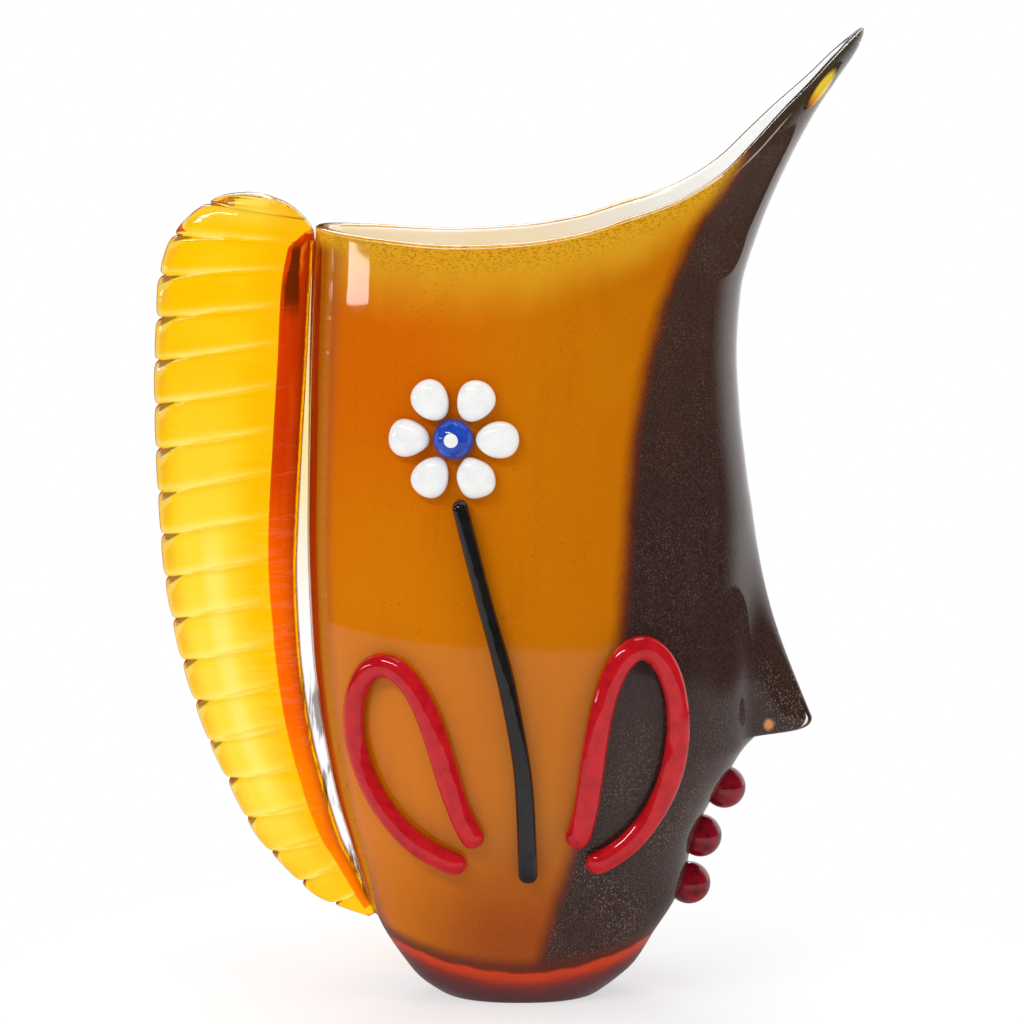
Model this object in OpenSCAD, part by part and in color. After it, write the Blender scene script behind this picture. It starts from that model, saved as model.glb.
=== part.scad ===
// Art-glass vase. An oval vessel in two colours is cased in clear glass. Its rim sweeps up
// into a pointed spout on one edge, above a spur pulled from the glass. A crimped crest is
// welded down the other edge. The vase stands on a solid red foot, and each broad side
// carries a flower laid on in hot glass. The origin is the centre of the ground foot.

/* [Vessel] */
// Height from the table to the tip of the spout
vase_h = 420; // [380:5:460]
// Width of the body across its widest part
body_w = 190; // [170:2:210]
// Depth of the body from one broad side to the other
body_d = 124; // [110:2:140]

/* [Glass layers] */
// Thickness of the clear casing outside the colour
casing_t = 3; // [2:0.5:4]
// Thickness of the coloured glass
colour_t = 2.2; // [1.5:0.1:3]
// Thickness of the opal lining
lining_t = 1.2; // [0.8:0.1:2]
// Height of the clear lip above the coloured glass
lip_h = 3; // [1.5:0.5:6]
// How far the middle of the lip stands up
lip_round = 1.2; // [0.5:0.1:2]
// Thickness of the clear glass under the red foot
foot_clear_t = 5; // [3:0.5:7]
// Height of the bottom of the coloured bowl
bowl_h = 15; // [12:0.5:16]
// Height of the coloured bowl's edge on the broad sides
bowl_edge_h = 18; // [17:0.5:21]
// How much higher that edge is below the spout and the crest
bowl_rise = 12; // [6:1:14]

/* [Spur] */
// Height of the spur's underside
spur_h = 114; // [110:1:120]
// Reach of the spur beyond the body
spur_reach = 28; // [20:1:34]
// Thickness of the spur at its blunt end
spur_nose_t = 7; // [5:0.5:10]
// Half width of the spur at its end
spur_half_w = 9; // [7:0.5:12]
// Height where the spur's ridge runs out
spur_root_h = 235; // [215:5:245]

/* [Crest] */
// Height of the top of the crest
crest_h = 348; // [336:2:354]
// Width of the crest at its widest
crest_w = 65; // [50:1:75]
// Thickness of the crest
crest_t = 22; // [16:1:26]
// Number of crimped ribs
crest_ribs = 20; // [14:1:24]
// Depth of the notch between two ribs
rib_notch = 3; // [1.5:0.5:5]
// Width of the orange root at its widest
root_w = 11; // [7:0.5:14]
// Width of the clear seam between crest and body
seam_w = 6; // [4:0.5:8]
// Half thickness of the seam where it meets the body
seam_half_t = 9; // [7:0.5:11]

/* [Flower] */
// Number of petals
petals = 6; // [5:1:6]
// Length of a petal
petal_l = 18; // [14:0.5:20]
// Width of a petal
petal_w = 15.5; // [12:0.5:16]
// Height of a petal
petal_h = 5; // [3:0.5:6]
// Diameter of the blue centre
centre_d = 17; // [14:0.5:18]
// Height of the blue centre
centre_h = 6; // [4:0.5:7]
// Diameter of the white pip
pip_d = 6; // [4:0.5:8]
// Height of the white pip
pip_h = 1.8; // [1:0.2:2.4]
// Free glass between the centre and a petal
petal_gap = 0.8; // [0.5:0.1:1.5]

/* [Trails and beads] */
// Width of the trail that draws a leaf
leaf_trail_w = 11; // [8:0.5:12]
// Height of that trail
leaf_trail_h = 6.5; // [4:0.5:8]
// Width of a leaf, measured to the middle of its trail
leaf_w = 34; // [28:1:38]
// Width of the stem at its foot
stem_w = 9; // [6:0.5:10]
// Width of the stem at the flower
stem_tip_w = 7; // [5:0.5:8]
// Height of the stem
stem_trail_h = 6; // [4:0.5:7]
// Diameter of a bead below the spur
bead_d = 19; // [15:0.5:20]
// How far a bead stands out of the edge
bead_reach = 13; // [10:0.5:15]

/* [Hidden] */
SIDES = ["front", "back"];

// Colours of the glass
clear_glass = [0.86, 0.87, 0.86, 0.35];
amber_glass = [0.78, 0.46, 0.02];
dark_glass = [0.24, 0.17, 0.16];
opal_glass = [0.93, 0.91, 0.86];
foot_glass = [0.62, 0.2, 0.12];
crest_glass = [0.99, 0.78, 0.13];
root_glass = [0.84, 0.25, 0.02];
white_glass = [0.95, 0.95, 0.94];
blue_glass = [0.12, 0.28, 0.72];
black_glass = [0.07, 0.06, 0.06];
red_glass = [0.78, 0.08, 0.12];
ruby_glass = [0.42, 0.05, 0.08];

// Profile on the spout's side: shares of the height, and of the width from the centre line
spout_side_shares = [
    [0, 0.179], [0.018, 0.230], [0.034, 0.267], [0.067, 0.312], [0.1, 0.358],
    [0.123, 0.379], [0.162, 0.396], [0.2, 0.433], [0.25, 0.498], [0.271, 0.52],
    [0.31, 0.522], [0.4, 0.518], [0.5, 0.52], [0.546, 0.513], [0.608, 0.497],
    [0.67, 0.489], [0.731, 0.497], [0.792, 0.535], [0.853, 0.591], [0.914, 0.662],
    [0.945, 0.708], [0.978, 0.756], [1, 0.774]
];
// Profile on the crest's side
crest_side_shares = [
    [0, -0.179], [0.018, -0.235], [0.034, -0.264], [0.077, -0.324], [0.151, -0.383],
    [0.214, -0.424], [0.302, -0.46], [0.374, -0.476], [0.476, -0.483], [0.612, -0.476],
    [0.714, -0.468], [0.786, -0.46], [1, -0.442]
];
// Half depth, as a share of half the body's depth
depth_shares = [
    [0, 0.44], [0.018, 0.56], [0.034, 0.64], [0.067, 0.73], [0.121, 0.84], [0.217, 0.94],
    [0.357, 1], [0.6, 1], [0.88, 1], [0.94, 0.82], [0.974, 0.68], [1, 0.5]
];
// Line where amber meets dark glass
colour_shares = [
    [0.05, 0.048], [0.138, 0.098], [0.26, 0.171], [0.405, 0.226], [0.53, 0.237],
    [0.68, 0.287], [0.785, 0.367], [0.87, 0.483], [0.92, 0.526], [1, 0.632]
];
// Rim seen from the side: shares of the width, and of the height
rim_shares = [
    [-0.47, 0.796], [-0.338, 0.789], [-0.149, 0.783], [0, 0.786], [0.135, 0.796],
    [0.23, 0.81], [0.324, 0.824], [0.383, 0.837], [0.452, 0.858], [0.517, 0.887],
    [0.577, 0.915], [0.642, 0.943], [0.705, 0.972], [0.774, 1]
];
// How square the oval is: 2 is an ellipse
oval_power = 2.3;
half_d = body_d / 2;

// Slope of a table of [place, value, ...] rows at row i, for the value in column k
function rise(t, i, k) = (t[i + 1][k] - t[i][k]) / (t[i + 1][0] - t[i][0]);
function slope(t, i, k) =
    i == 0 ? rise(t, 0, k) :
    i == len(t) - 1 ? rise(t, i - 1, k) :
    let (
        before = rise(t, i - 1, k),
        after = rise(t, i, k)
    )
    before * after <= 0 ? 0 : 2 * before * after / (before + after);
function span_of(t, x, i = 0) = i >= len(t) - 2 || x < t[i + 1][0] ? i : span_of(t, x, i + 1);
// Value at x on the smooth curve through the table, flat beyond its ends
function along(t, x, k = 1) =
    let (
        at = min(max(x, t[0][0]), t[len(t) - 1][0]),
        i = span_of(t, at),
        w = t[i + 1][0] - t[i][0],
        s = (at - t[i][0]) / w,
        s2 = s * s,
        s3 = s2 * s
    )
    (2 * s3 - 3 * s2 + 1) * t[i][k] + (3 * s2 - 2 * s3) * t[i + 1][k] +
    ((s3 - 2 * s2 + s) * slope(t, i, k) + (s3 - s2) * slope(t, i + 1, k)) * w;

function spout_side_x(z) = body_w * along(spout_side_shares, z / vase_h);
function crest_side_x(z) = body_w * along(crest_side_shares, z / vase_h);
function mid_x(z) = (spout_side_x(z) + crest_side_x(z)) / 2;
function half_width(z) = (spout_side_x(z) - crest_side_x(z)) / 2;
function half_depth(z) = half_d * along(depth_shares, z / vase_h);
// Depth of the oval at a share of the way from its middle to either edge
function oval(k) = pow(max(1 - pow(abs(k), oval_power), 0), 1 / oval_power);
function rim_z(x) = vase_h * along(rim_shares, x / body_w);
function colour_x(z) = body_w * along(colour_shares, z / vase_h);

// Columns run round the oval from the spout's edge. The dark glass spans the first
// shares of the half turn, and the amber glass the rest.
dark_turn_shares = [0, 0.03, 0.07, 0.13, 0.22, 0.34, 0.48, 0.64, 0.82, 1];
amber_turn_shares = [0, 0.1, 0.22, 0.35, 0.48, 0.61, 0.74, 0.85, 0.93, 1];
split = len(dark_turn_shares) - 1;
half = split + len(amber_turn_shares) - 1;
cols = 2 * half;
// Column's number counted from the spout's edge round either side
function fold(c) = min(c % cols, cols - c % cols);
function colour_turn(z) = acos((colour_x(z) - mid_x(z)) / half_width(z));
function turn(k, z) =
    let (line = colour_turn(z))
    k <= split ?
        line * dark_turn_shares[k] :
        line + (180 - line) * amber_turn_shares[k - split];

// The four surfaces of the glass: 3 is the outside, 2 the outside of the colour,
// 1 its inside, and 0 the cavity. Each is an inset from the outside.
wall_t = casing_t + colour_t + lining_t;
inset = [wall_t, casing_t + colour_t, casing_t, 0];
lift = [colour_t + lining_t, colour_t, 0, 0];

// Spur: a blunt end, then a ridge that runs out in the body's edge
ridge_power = 1.8;
nose_power = 3;
spur_inset_share = 0.6;
spur_flare_share = 1.2;
function ridge(z) =
    let (tip = spur_h + spur_nose_t)
    spur_reach * pow(max(spur_root_h - z, 0) / (spur_root_h - tip), ridge_power);
function spur(z, d) =
    let (
        low = spur_h + d,
        peak = low + spur_nose_t,
        t = (peak - z) / spur_nose_t
    )
    z <= low ? 0 : z < peak ? ridge(peak) * pow(1 - pow(t, nose_power), 1 / nose_power) : ridge(z);
function spur_width(z, d) =
    (spur_half_w - spur_inset_share * d) *
    (1 + spur_flare_share * min(max(z - spur_h, 0) / (spur_root_h - spur_h), 1));

// Point of column c, at height z, on the surface d inside the profile at height at
function wall_point(c, z, d, at, with_spur = true) =
    let (
        a = turn(fold(c), at),
        deep = (half_depth(at) - d) * oval(cos(a)),
        pull = with_spur ? spur(at, d) * exp(-pow(deep / spur_width(at, d), 2)) : 0
    )
    [
        mid_x(at) + (half_width(at) - d) * cos(a) + (cos(a) > 0 ? pull : 0),
        c % cols <= half ? deep : -deep,
        z
    ];
function surface_point(c, z, s) = wall_point(c, z, inset[s], z, s >= 2);

// Height at which column k of the surface inset by d meets the rim
function rim_search(k, d, low, high, tries) =
    let (mid = (low + high) / 2)
    tries == 0 ? mid :
    mid > rim_z(wall_point(k, mid, d, mid, false)[0]) ?
        rim_search(k, d, low, mid, tries - 1) :
        rim_search(k, d, mid, high, tries - 1);
rim_tries = 20;
function rim_heights(d) = [for (k = [0 : half]) rim_search(k, d, mid_h, vase_h, rim_tries)];

// Rows of each surface: fixed heights up to the middle, then spread to the rim
foot_row_shares = [0, 0.022, 0.066, 0.13, 0.23];
low_row_shares = [0.37, 0.54, 0.72, 0.88];
nose_row_shares = [1, 0.985, 0.93, 0.8, 0.5, 0];
ridge_row_shares = [0.12, 0.28, 0.48, 0.72, 1];
high_row_shares = [0, 0.2, 0.4, 0.6, 0.8, 0.92, 1];
mid_share = 0.15;
mid_h = spur_root_h + mid_share * (vase_h - spur_root_h);
function fixed_rows(s) =
    let (peak = spur_h + spur_nose_t + (s < 3 ? casing_t : 0))
    concat(
        [for (f = low_row_shares) f * spur_h],
        s > 0 ? [for (f = nose_row_shares) peak - f * spur_nose_t] : [peak],
        [for (f = ridge_row_shares) peak + f * (spur_root_h - peak)]
    );
rim_h = [for (s = [0 : 3]) rim_heights(inset[s])];
function wall_heights(s, c) =
    let (top = rim_h[s][fold(c)] - (s < 3 ? lip_h : 0))
    concat(fixed_rows(s), [for (f = high_row_shares) mid_h + f * (top - mid_h)]);

// Rows by columns of points of a surface's wall, above the bowl
function wall_grid(s, columns) =
    let (heights = [for (c = columns) wall_heights(s, c)])
    [
        for (r = [0 : len(heights[0]) - 1])
            [for (i = [0 : len(columns) - 1]) surface_point(columns[i], heights[i][r], s)]
    ];
// Rows of the outside between the foot and the wall
function foot_grid(columns) =
    [for (f = foot_row_shares) [for (c = columns) surface_point(c, f * spur_h, 3)]];
// Height of the coloured bowl's edge at a column
function edge_h(c) = bowl_edge_h + bowl_rise * pow(cos(turn(fold(c), bowl_edge_h)), 2);
// Rings of the bowl's bottom on surface s: each a share of the edge's height and size
bowl_ring_shares = [[0, 0.78], [0.4, 0.93], [1, 1]];
function bowl_grid(s, columns) =
    [
        for (f = bowl_ring_shares)
            [
                for (c = columns)
                    let (
                        top = edge_h(c) + lift[s],
                        p = wall_point(c, top, inset[s], top, false),
                        x = mid_x(top)
                    )
                    [x + f[1] * (p[0] - x), f[1] * p[1], bowl_h + lift[s] + f[0] * (edge_h(c) - bowl_h)]
            ]
    ];
// Rings of the red foot where it meets the casing
foot_ring_shares = [0, 0.35, 0.7];
function foot_rings(columns) =
    [
        for (f = foot_ring_shares)
            [
                for (c = columns)
                    let (z = foot_clear_t + f * (edge_h(c) - foot_clear_t))
                    wall_point(c, z, casing_t, z - foot_clear_t * (1 - f), false)
            ]
    ];
round_columns = [for (c = [0 : cols - 1]) c];
amber_columns = [for (c = [split : cols - split]) c];
dark_columns = [for (c = [cols - split : cols + split]) c];
function last_of(list) = list[len(list) - 1];
function backwards(list) = [for (i = [len(list) - 1 : -1 : 0]) list[i]];

// Solid with a surface that runs ring by ring and a flat face at each end. From ring
// number crossing on, its quads are split along their other diagonal.
module stack(rings, crossing = 0) {
    n = len(rings[0]);
    last = len(rings) - 1;
    sides = [
        for (k = [0 : last - 1], c = [0 : n - 1])
            let (
                a = k * n + c,
                b = k * n + (c + 1) % n
            )
            each crossing > 0 && k >= crossing ?
                [[a, a + n, b], [b, a + n, b + n]] :
                [[a, a + n, b + n], [a, b + n, b]]
    ];
    polyhedron(
        points = [for (ring = rings) each ring],
        faces = concat(
            [[for (c = [0 : n - 1]) c]],
            sides,
            [[for (c = [n - 1 : -1 : 0]) last * n + c]]
        ),
        convexity = 8
    );
}

// Open piece of wall between two grids of points. With a bowl, its first rows are the
// rims of flat bottoms, cut straight across.
module wall_piece(outer, inner, bowl) {
    n = len(outer[0]);
    rows = len(outer);
    shift = rows * n;
    top = (rows - 1) * n;
    sheets = [
        for (r = [0 : rows - 2], c = [0 : n - 2])
            let (a = r * n + c)
            each [
                [a, a + n, a + n + 1],
                [a, a + n + 1, a + 1],
                [a + shift, a + n + 1 + shift, a + n + shift],
                [a + shift, a + 1 + shift, a + n + 1 + shift]
            ]
    ];
    top_strip = [
        for (c = [0 : n - 2])
            let (a = top + c)
            each [[a, a + shift, a + shift + 1], [a, a + shift + 1, a + 1]]
    ];
    ends = [
        for (r = [0 : rows - 2])
            let (
                a = r * n,
                b = a + n - 1
            )
            each [
                [a, a + shift, a + n + shift],
                [a, a + n + shift, a + n],
                [b, b + n + shift, b + shift],
                [b, b + n, b + n + shift]
            ]
    ];
    bottom = bowl ?
        [
            [for (c = [0 : n - 1]) c],
            [for (c = [n - 1 : -1 : 0]) c + shift],
            [0, n - 1, n - 1 + shift, shift]
        ] :
        [for (c = [0 : n - 2]) each [[c, c + shift + 1, c + shift], [c, c + 1, c + shift + 1]]];
    polyhedron(
        points = concat([for (row = outer) each row], [for (row = inner) each row]),
        faces = concat(sheets, top_strip, ends, bottom),
        convexity = 8
    );
}

// Skin of the body between two columns and two heights, as deep as what is set in it
seat_depth = 9;
function heights_at(c) = concat([for (f = foot_row_shares) f * spur_h], wall_heights(3, c));
function row_below(z, heights, i = 0) =
    i >= len(heights) - 1 || heights[i + 1] > z ? i : row_below(z, heights, i + 1);
module body_skin(columns, low, high) {
    heights = heights_at(split + 1);
    first = row_below(low, heights);
    last = min(row_below(high, heights) + 1, len(heights) - 1);
    grid = concat(foot_grid(columns), wall_grid(3, columns));
    outer = [for (r = [first : last]) grid[r]];
    inner = [
        for (row = outer)
            [
                for (i = [0 : len(columns) - 1])
                    wall_point(columns[i], row[i][2], seat_depth, row[i][2], false)
            ]
    ];
    wall_piece(outer, inner, false);
}
// The same on a broad side, between two places in x and two heights
function column_before(x, z, k = 0) =
    k >= half - 2 || wall_point(k + 1, z, 0, z, false)[0] < x ? k : column_before(x, z, k + 1);
module side_skin(side, low, high) {
    first = min(column_before(high[0], low[1]), column_before(high[0], high[1]));
    last = max(column_before(low[0], low[1]), column_before(low[0], high[1])) + 1;
    columns = side == "front" ? [for (k = [last : -1 : first]) cols - k] : [for (k = [first : last]) k];
    body_skin(columns, low[1], high[1]);
}
module seated(side, path, margin) {
    room = [margin, margin];
    difference() {
        children();
        side_skin(
            side,
            [min([for (p = path) p[0]]), min([for (p = path) p[1]])] - room,
            [max([for (p = path) p[0]]), max([for (p = path) p[1]])] + room
        );
    }
}

// Place on a broad side at x and z, and the frame there with its first axis along a
// direction in that side
skin_step = body_w / 200;
function side_sign(side) = side == "front" ? -1 : 1;
function skin(side, x, z) =
    let (k = (x - mid_x(z)) / half_width(z))
    [x, side_sign(side) * half_depth(z) * oval(k), z];
function unit(v) = v / norm(v);
function skin_normal(side, x, z) =
    unit(
        side_sign(side) *
        cross(
            skin(side, x, z + skin_step) - skin(side, x, z - skin_step),
            skin(side, x + skin_step, z) - skin(side, x - skin_step, z)
        )
    );
module on_skin(side, x, z, dir) {
    out = skin_normal(side, x, z);
    ahead = skin(side, x + skin_step * dir[0], z + skin_step * dir[1]) - skin(side, x, z);
    first = unit(ahead - out * (ahead * out));
    second = cross(out, first);
    p = skin(side, x, z);
    multmatrix([
        [first[0], second[0], out[0], p[0]],
        [first[1], second[1], out[1], p[1]],
        [first[2], second[2], out[2], p[2]],
        [0, 0, 0, 1]
    ])
        children();
}

// Ring of a trail of width w and height h at point i of a path on a broad side. The
// trail's middle stands above the skin by this share of its height.
trail_sides = 8;
trail_mid_share = 0.35;
function trail_ring(side, path, i, w, h) =
    let (
        p = path[i],
        from = path[max(i - 1, 0)],
        to = path[min(i + 1, len(path) - 1)],
        here = skin(side, p[0], p[1]),
        out = skin_normal(side, p[0], p[1]),
        ahead = skin(side, to[0], to[1]) - skin(side, from[0], from[1]),
        across = unit(cross(out, ahead))
    )
    [
        for (j = [0 : trail_sides - 1])
            let (a = 360 * (j + 0.5) / trail_sides)
            here + across * (w / 2 * cos(a)) +
            out * (h * (trail_mid_share + (1 - trail_mid_share) * sin(a)))
    ];
// Places along a trail, close together at its round ends: each share of the way comes
// with the share of its size that the trail has there
trail_end_shares = [[0, 0.4], [0.01, 0.8], [0.03, 0.96]];
function trail_places(n) =
    let (end = last_of(trail_end_shares)[0])
    concat(
        [for (f = trail_end_shares) f[0]],
        [for (i = [1 : n - 1]) end + (1 - 2 * end) * i / n],
        [for (f = backwards(trail_end_shares)) 1 - f[0]]
    );
function fullness(i, count) =
    let (near = min(i, count - 1 - i))
    near < len(trail_end_shares) ? trail_end_shares[near][1] : 1;
module trail(side, path, widths, h) {
    count = len(path);
    stack([
        for (i = [0 : count - 1])
            let (full = fullness(i, count))
            trail_ring(side, path, i, widths[i] * full, h * full)
    ]);
}

module clear_casing() {
    outside = concat(foot_grid(round_columns), wall_grid(3, round_columns));
    crown = [
        for (c = round_columns)
            let (
                k = fold(c),
                z = (rim_h[3][k] + rim_h[0][k]) / 2
            )
            wall_point(c, z + lip_round, wall_t / 2, z, false)
    ];
    brim = [for (c = round_columns) surface_point(c, rim_h[0][fold(c)], 0)];
    inside = concat(
        [crown, brim],
        [for (s = [0, 1]) last_of(wall_grid(s, round_columns))],
        backwards(wall_grid(2, round_columns)),
        [last_of(bowl_grid(2, round_columns))],
        backwards(foot_rings(round_columns))
    );
    color(clear_glass)
        stack(concat(outside, inside), len(outside));
}

module amber_wall() {
    color(amber_glass)
        wall_piece(
            concat(bowl_grid(2, amber_columns), wall_grid(2, amber_columns)),
            concat(bowl_grid(1, amber_columns), wall_grid(1, amber_columns)),
            true
        );
}

module dark_wall() {
    color(dark_glass)
        wall_piece(
            concat(bowl_grid(2, dark_columns), wall_grid(2, dark_columns)),
            concat(bowl_grid(1, dark_columns), wall_grid(1, dark_columns)),
            true
        );
}

module opal_lining() {
    outside = concat(bowl_grid(1, round_columns), wall_grid(1, round_columns));
    inside = concat(bowl_grid(0, round_columns), wall_grid(0, round_columns));
    color(opal_glass)
        stack(concat(outside, backwards(inside)), len(outside));
}

// The foot's rings start on its broad side
foot_start = 11;
module foot_gather() {
    columns = [for (c = round_columns) c + foot_start];
    rings = foot_rings(columns);
    bowl = backwards(bowl_grid(2, columns));
    color(foot_glass)
        stack(concat(rings, bowl), len(rings));
}

// Crest, from its low end to its top. Columns: share of the outer edge's length, then
// the inner edge's height, its distance from the body as a share of the seam, how far
// it arches away over the rim, the crest's width and the rise of its outer edge.
crest_shares = [
    [0, 0.098, 0.2, 0, 0.04, -0.03],
    [0.075, 0.135, 0.25, 0, 0.32, -0.074],
    [0.129, 0.166, 0.45, 0, 0.466, -0.026],
    [0.177, 0.197, 0.75, 0, 0.566, 0.02],
    [0.239, 0.253, 0.78, 0, 0.64, 0.04],
    [0.301, 0.315, 0.93, 0, 0.7, 0.028],
    [0.36, 0.377, 1, 0, 0.752, 0.012],
    [0.418, 0.439, 1, 0, 0.806, 0],
    [0.477, 0.501, 1, 0, 0.852, 0],
    [0.582, 0.613, 0.75, 0, 0.92, 0],
    [0.675, 0.713, 0.55, 0, 0.972, 0],
    [0.756, 0.8, 0.37, 0, 1, 0.01],
    [0.837, 0.875, 0.3, 0, 0.998, 0.066],
    [0.884, 0.918, 0.22, 0, 0.952, 0.098],
    [0.93, 0.952, 0.2, 0.01, 0.792, 0.128],
    [0.97, 0.984, 0.2, 0.17, 0.432, 0.056],
    [1, 0.997, 0.2, 0.36, 0.08, 0.006]
];
crest_t_shares = [[0, 0.25], [0.075, 0.7], [0.177, 1], [0.884, 1], [0.93, 0.95], [0.97, 0.75], [1, 0.3]];
// Width of the orange root along the crest
root_shares = [
    [0, 0.1], [0.1, 0.45], [0.239, 0.8], [0.418, 0.85], [0.582, 1], [0.837, 1], [0.9, 0.85],
    [0.92, 0.4], [0.935, 0]
];
// Section of the blade: share of the way out, and of the half thickness
blade_shares = [[0, 0.8], [0.3, 1], [0.65, 0.94], [0.87, 0.68], [0.97, 0.36]];
root_t_share = 0.62;
rib_ring_shares = [0, 0.14, 0.5, 0.86];
rib_notch_shares = [1, 0.25, 0, 0.25];
rib_pinch_shares = [0.9, 0.98, 1.02, 0.98];
rib_rings = len(rib_ring_shares);
crest_rings = crest_ribs * rib_rings;

function crest_u(i) = (floor(i / rib_rings) + rib_ring_shares[i % rib_rings]) / crest_ribs;
function crest_inner(u) =
    let (z = crest_h * along(crest_shares, u, 1))
    [
        crest_side_x(z) - seam_w * along(crest_shares, u, 2) - crest_w * along(crest_shares, u, 3),
        z
    ];
function crest_outer(u) =
    crest_inner(u) + crest_w * [-along(crest_shares, u, 4), along(crest_shares, u, 5)];
function crest_point(u, way, y) =
    let (p = crest_inner(u) + unit(crest_outer(u) - crest_inner(u)) * way)
    [p[0], y, p[1]];
function crest_half_t(u) = crest_t / 2 * along(crest_t_shares, u);
function root_width(u) = min(root_w * along(root_shares, u), norm(crest_outer(u) - crest_inner(u)) / 2);

function blade_ring(i) =
    let (
        u = crest_u(i),
        from = root_width(u),
        width = norm(crest_outer(u) - crest_inner(u)) - from,
        inner_t = crest_half_t(u) * (from > 0 ? blade_shares[0][1] : root_t_share),
        end = max(width - rib_notch * rib_notch_shares[i % rib_rings], width / 2),
        half_t = crest_half_t(u) * rib_pinch_shares[i % rib_rings],
        side = [for (f = blade_shares) [from + f[0] * end, f[0] == 0 ? inner_t : f[1] * half_t]]
    )
    concat(
        [for (p = side) crest_point(u, p[0], p[1])],
        [crest_point(u, from + end, 0)],
        [for (p = backwards(side)) crest_point(u, p[0], -p[1])]
    );
function strip_ring(u, inner_way, inner_t, outer_way, outer_t) =
    [
        crest_point(u, inner_way, inner_t),
        crest_point(u, outer_way, outer_t),
        crest_point(u, outer_way, -outer_t),
        crest_point(u, inner_way, -inner_t)
    ];

module crest_blade() {
    color(crest_glass)
        stack([for (i = [0 : crest_rings]) blade_ring(i)]);
}

module crest_root() {
    color(root_glass)
        stack([
            for (i = [0 : crest_rings])
                let (
                    u = crest_u(i),
                    half_t = crest_half_t(u)
                )
                if (root_width(u) > 0)
                    strip_ring(u, 0, root_t_share * half_t, root_width(u), blade_shares[0][1] * half_t)
        ]);
}

// The seam is set this far into the body, and stops this share below the rim
seam_bite = 4;
seam_end_share = 0.985;
seam_columns = 2;
module crest_seam() {
    rings = [
        for (i = [0 : crest_rings])
            let (
                u = crest_u(i),
                at = crest_inner(u),
                half_t = crest_half_t(u) * root_t_share,
                x = crest_side_x(at[1]) + seam_bite
            )
            if (at[1] < seam_end_share * rim_h[3][half])
                [
                    [x, seam_half_t, at[1]],
                    [at[0], half_t, at[1]],
                    [at[0], -half_t, at[1]],
                    [x, -seam_half_t, at[1]]
                ]
    ];
    color(clear_glass)
        difference() {
            stack(rings);
            body_skin([for (c = [half - seam_columns : half + seam_columns]) c], rings[0][0][2], vase_h);
        }
}

// Flower: its place as shares of the width and height, and what surrounds it
flower_x = -0.147 * body_w;
flower_z = 0.595 * vase_h;
flower_r = centre_d / 2 + petal_gap + petal_l;
// The stem's foot, and points on its way up, as shares of the way to its top
stem_foot = [0.018 * body_w, 0.143 * vase_h];
stem_shift = 0.33 * stem_tip_w;
stem_top = [flower_x + stem_shift, flower_z - flower_r + stem_shift];
stem_shares = [[0, 0, 0], [0.25, 0.06, 0.25], [0.5, 0.28, 0.5], [0.75, 0.66, 0.76], [1, 1, 1]];
stem_places = 16;
function stem_point(s) =
    [
        stem_foot[0] + along(stem_shares, s, 1) * (stem_top[0] - stem_foot[0]),
        stem_foot[1] + along(stem_shares, s, 2) * (stem_top[1] - stem_foot[1])
    ];
module stem(side) {
    places = trail_places(stem_places);
    path = [for (s = places) stem_point(s)];
    widths = [for (s = places) stem_w + s * (stem_tip_w - stem_w)];
    color(black_glass)
        seated(side, path, stem_w)
            trail(side, path, widths, stem_trail_h);
}

// Leaf: a loop about a curved line from its foot by a bend to its tip
leaf_places = 26;
leaf_gap_share = 0.05;
leaf_step = 0.01;
leaf_left_shares = [[-0.035, 0.158], [-0.27, 0.19], [-0.3, 0.365]];
leaf_right_shares = [[0.068, 0.158], [0.28, 0.185], [0.262, 0.385]];
function leaf_line(p, s) = (1 - s) * (1 - s) * p[0] + 2 * s * (1 - s) * p[1] + s * s * p[2];
function leaf_point(p, s) =
    let (
        way = sin(180 * s),
        dir = unit(leaf_line(p, way + leaf_step) - leaf_line(p, way - leaf_step))
    )
    leaf_line(p, way) + [-dir[1], dir[0]] * (leaf_w / 2 * sin(360 * s));
module leaf(side, shares) {
    points = [for (f = shares) [f[0] * body_w, f[1] * vase_h]];
    path = [
        for (s = trail_places(leaf_places))
            leaf_point(points, leaf_gap_share + (1 - 2 * leaf_gap_share) * s)
    ];
    color(red_glass)
        seated(side, path, leaf_trail_w)
            trail(side, path, [for (p = path) leaf_trail_w], leaf_trail_h);
}

// Petal: a pebble with an egg outline, wider away from the centre
petal_sides = 12;
petal_egg_share = 0.2;
petal_ring_shares = [[-0.45, 0.9], [0, 1], [0.45, 0.9], [0.8, 0.62], [1, 0.2]];
module petal(side, i) {
    a = 360 * (i - 1) / petals;
    r = centre_d / 2 + petal_gap + petal_l / 2;
    x = flower_x + r * cos(a);
    z = flower_z + r * sin(a);
    color(white_glass)
        seated(side, [[x, z]], petal_l / 2 + skin_step)
            on_skin(side, x, z, [cos(a), sin(a)])
                stack([
                    for (f = petal_ring_shares)
                        [
                            for (j = [0 : petal_sides - 1])
                                let (
                                    b = 360 * j / petal_sides,
                                    y = petal_w / 2 * sin(b) * (1 + petal_egg_share * cos(b))
                                )
                                [f[1] * petal_l / 2 * cos(b), f[1] * y, f[0] * petal_h]
                        ]
                ]);
}

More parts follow.
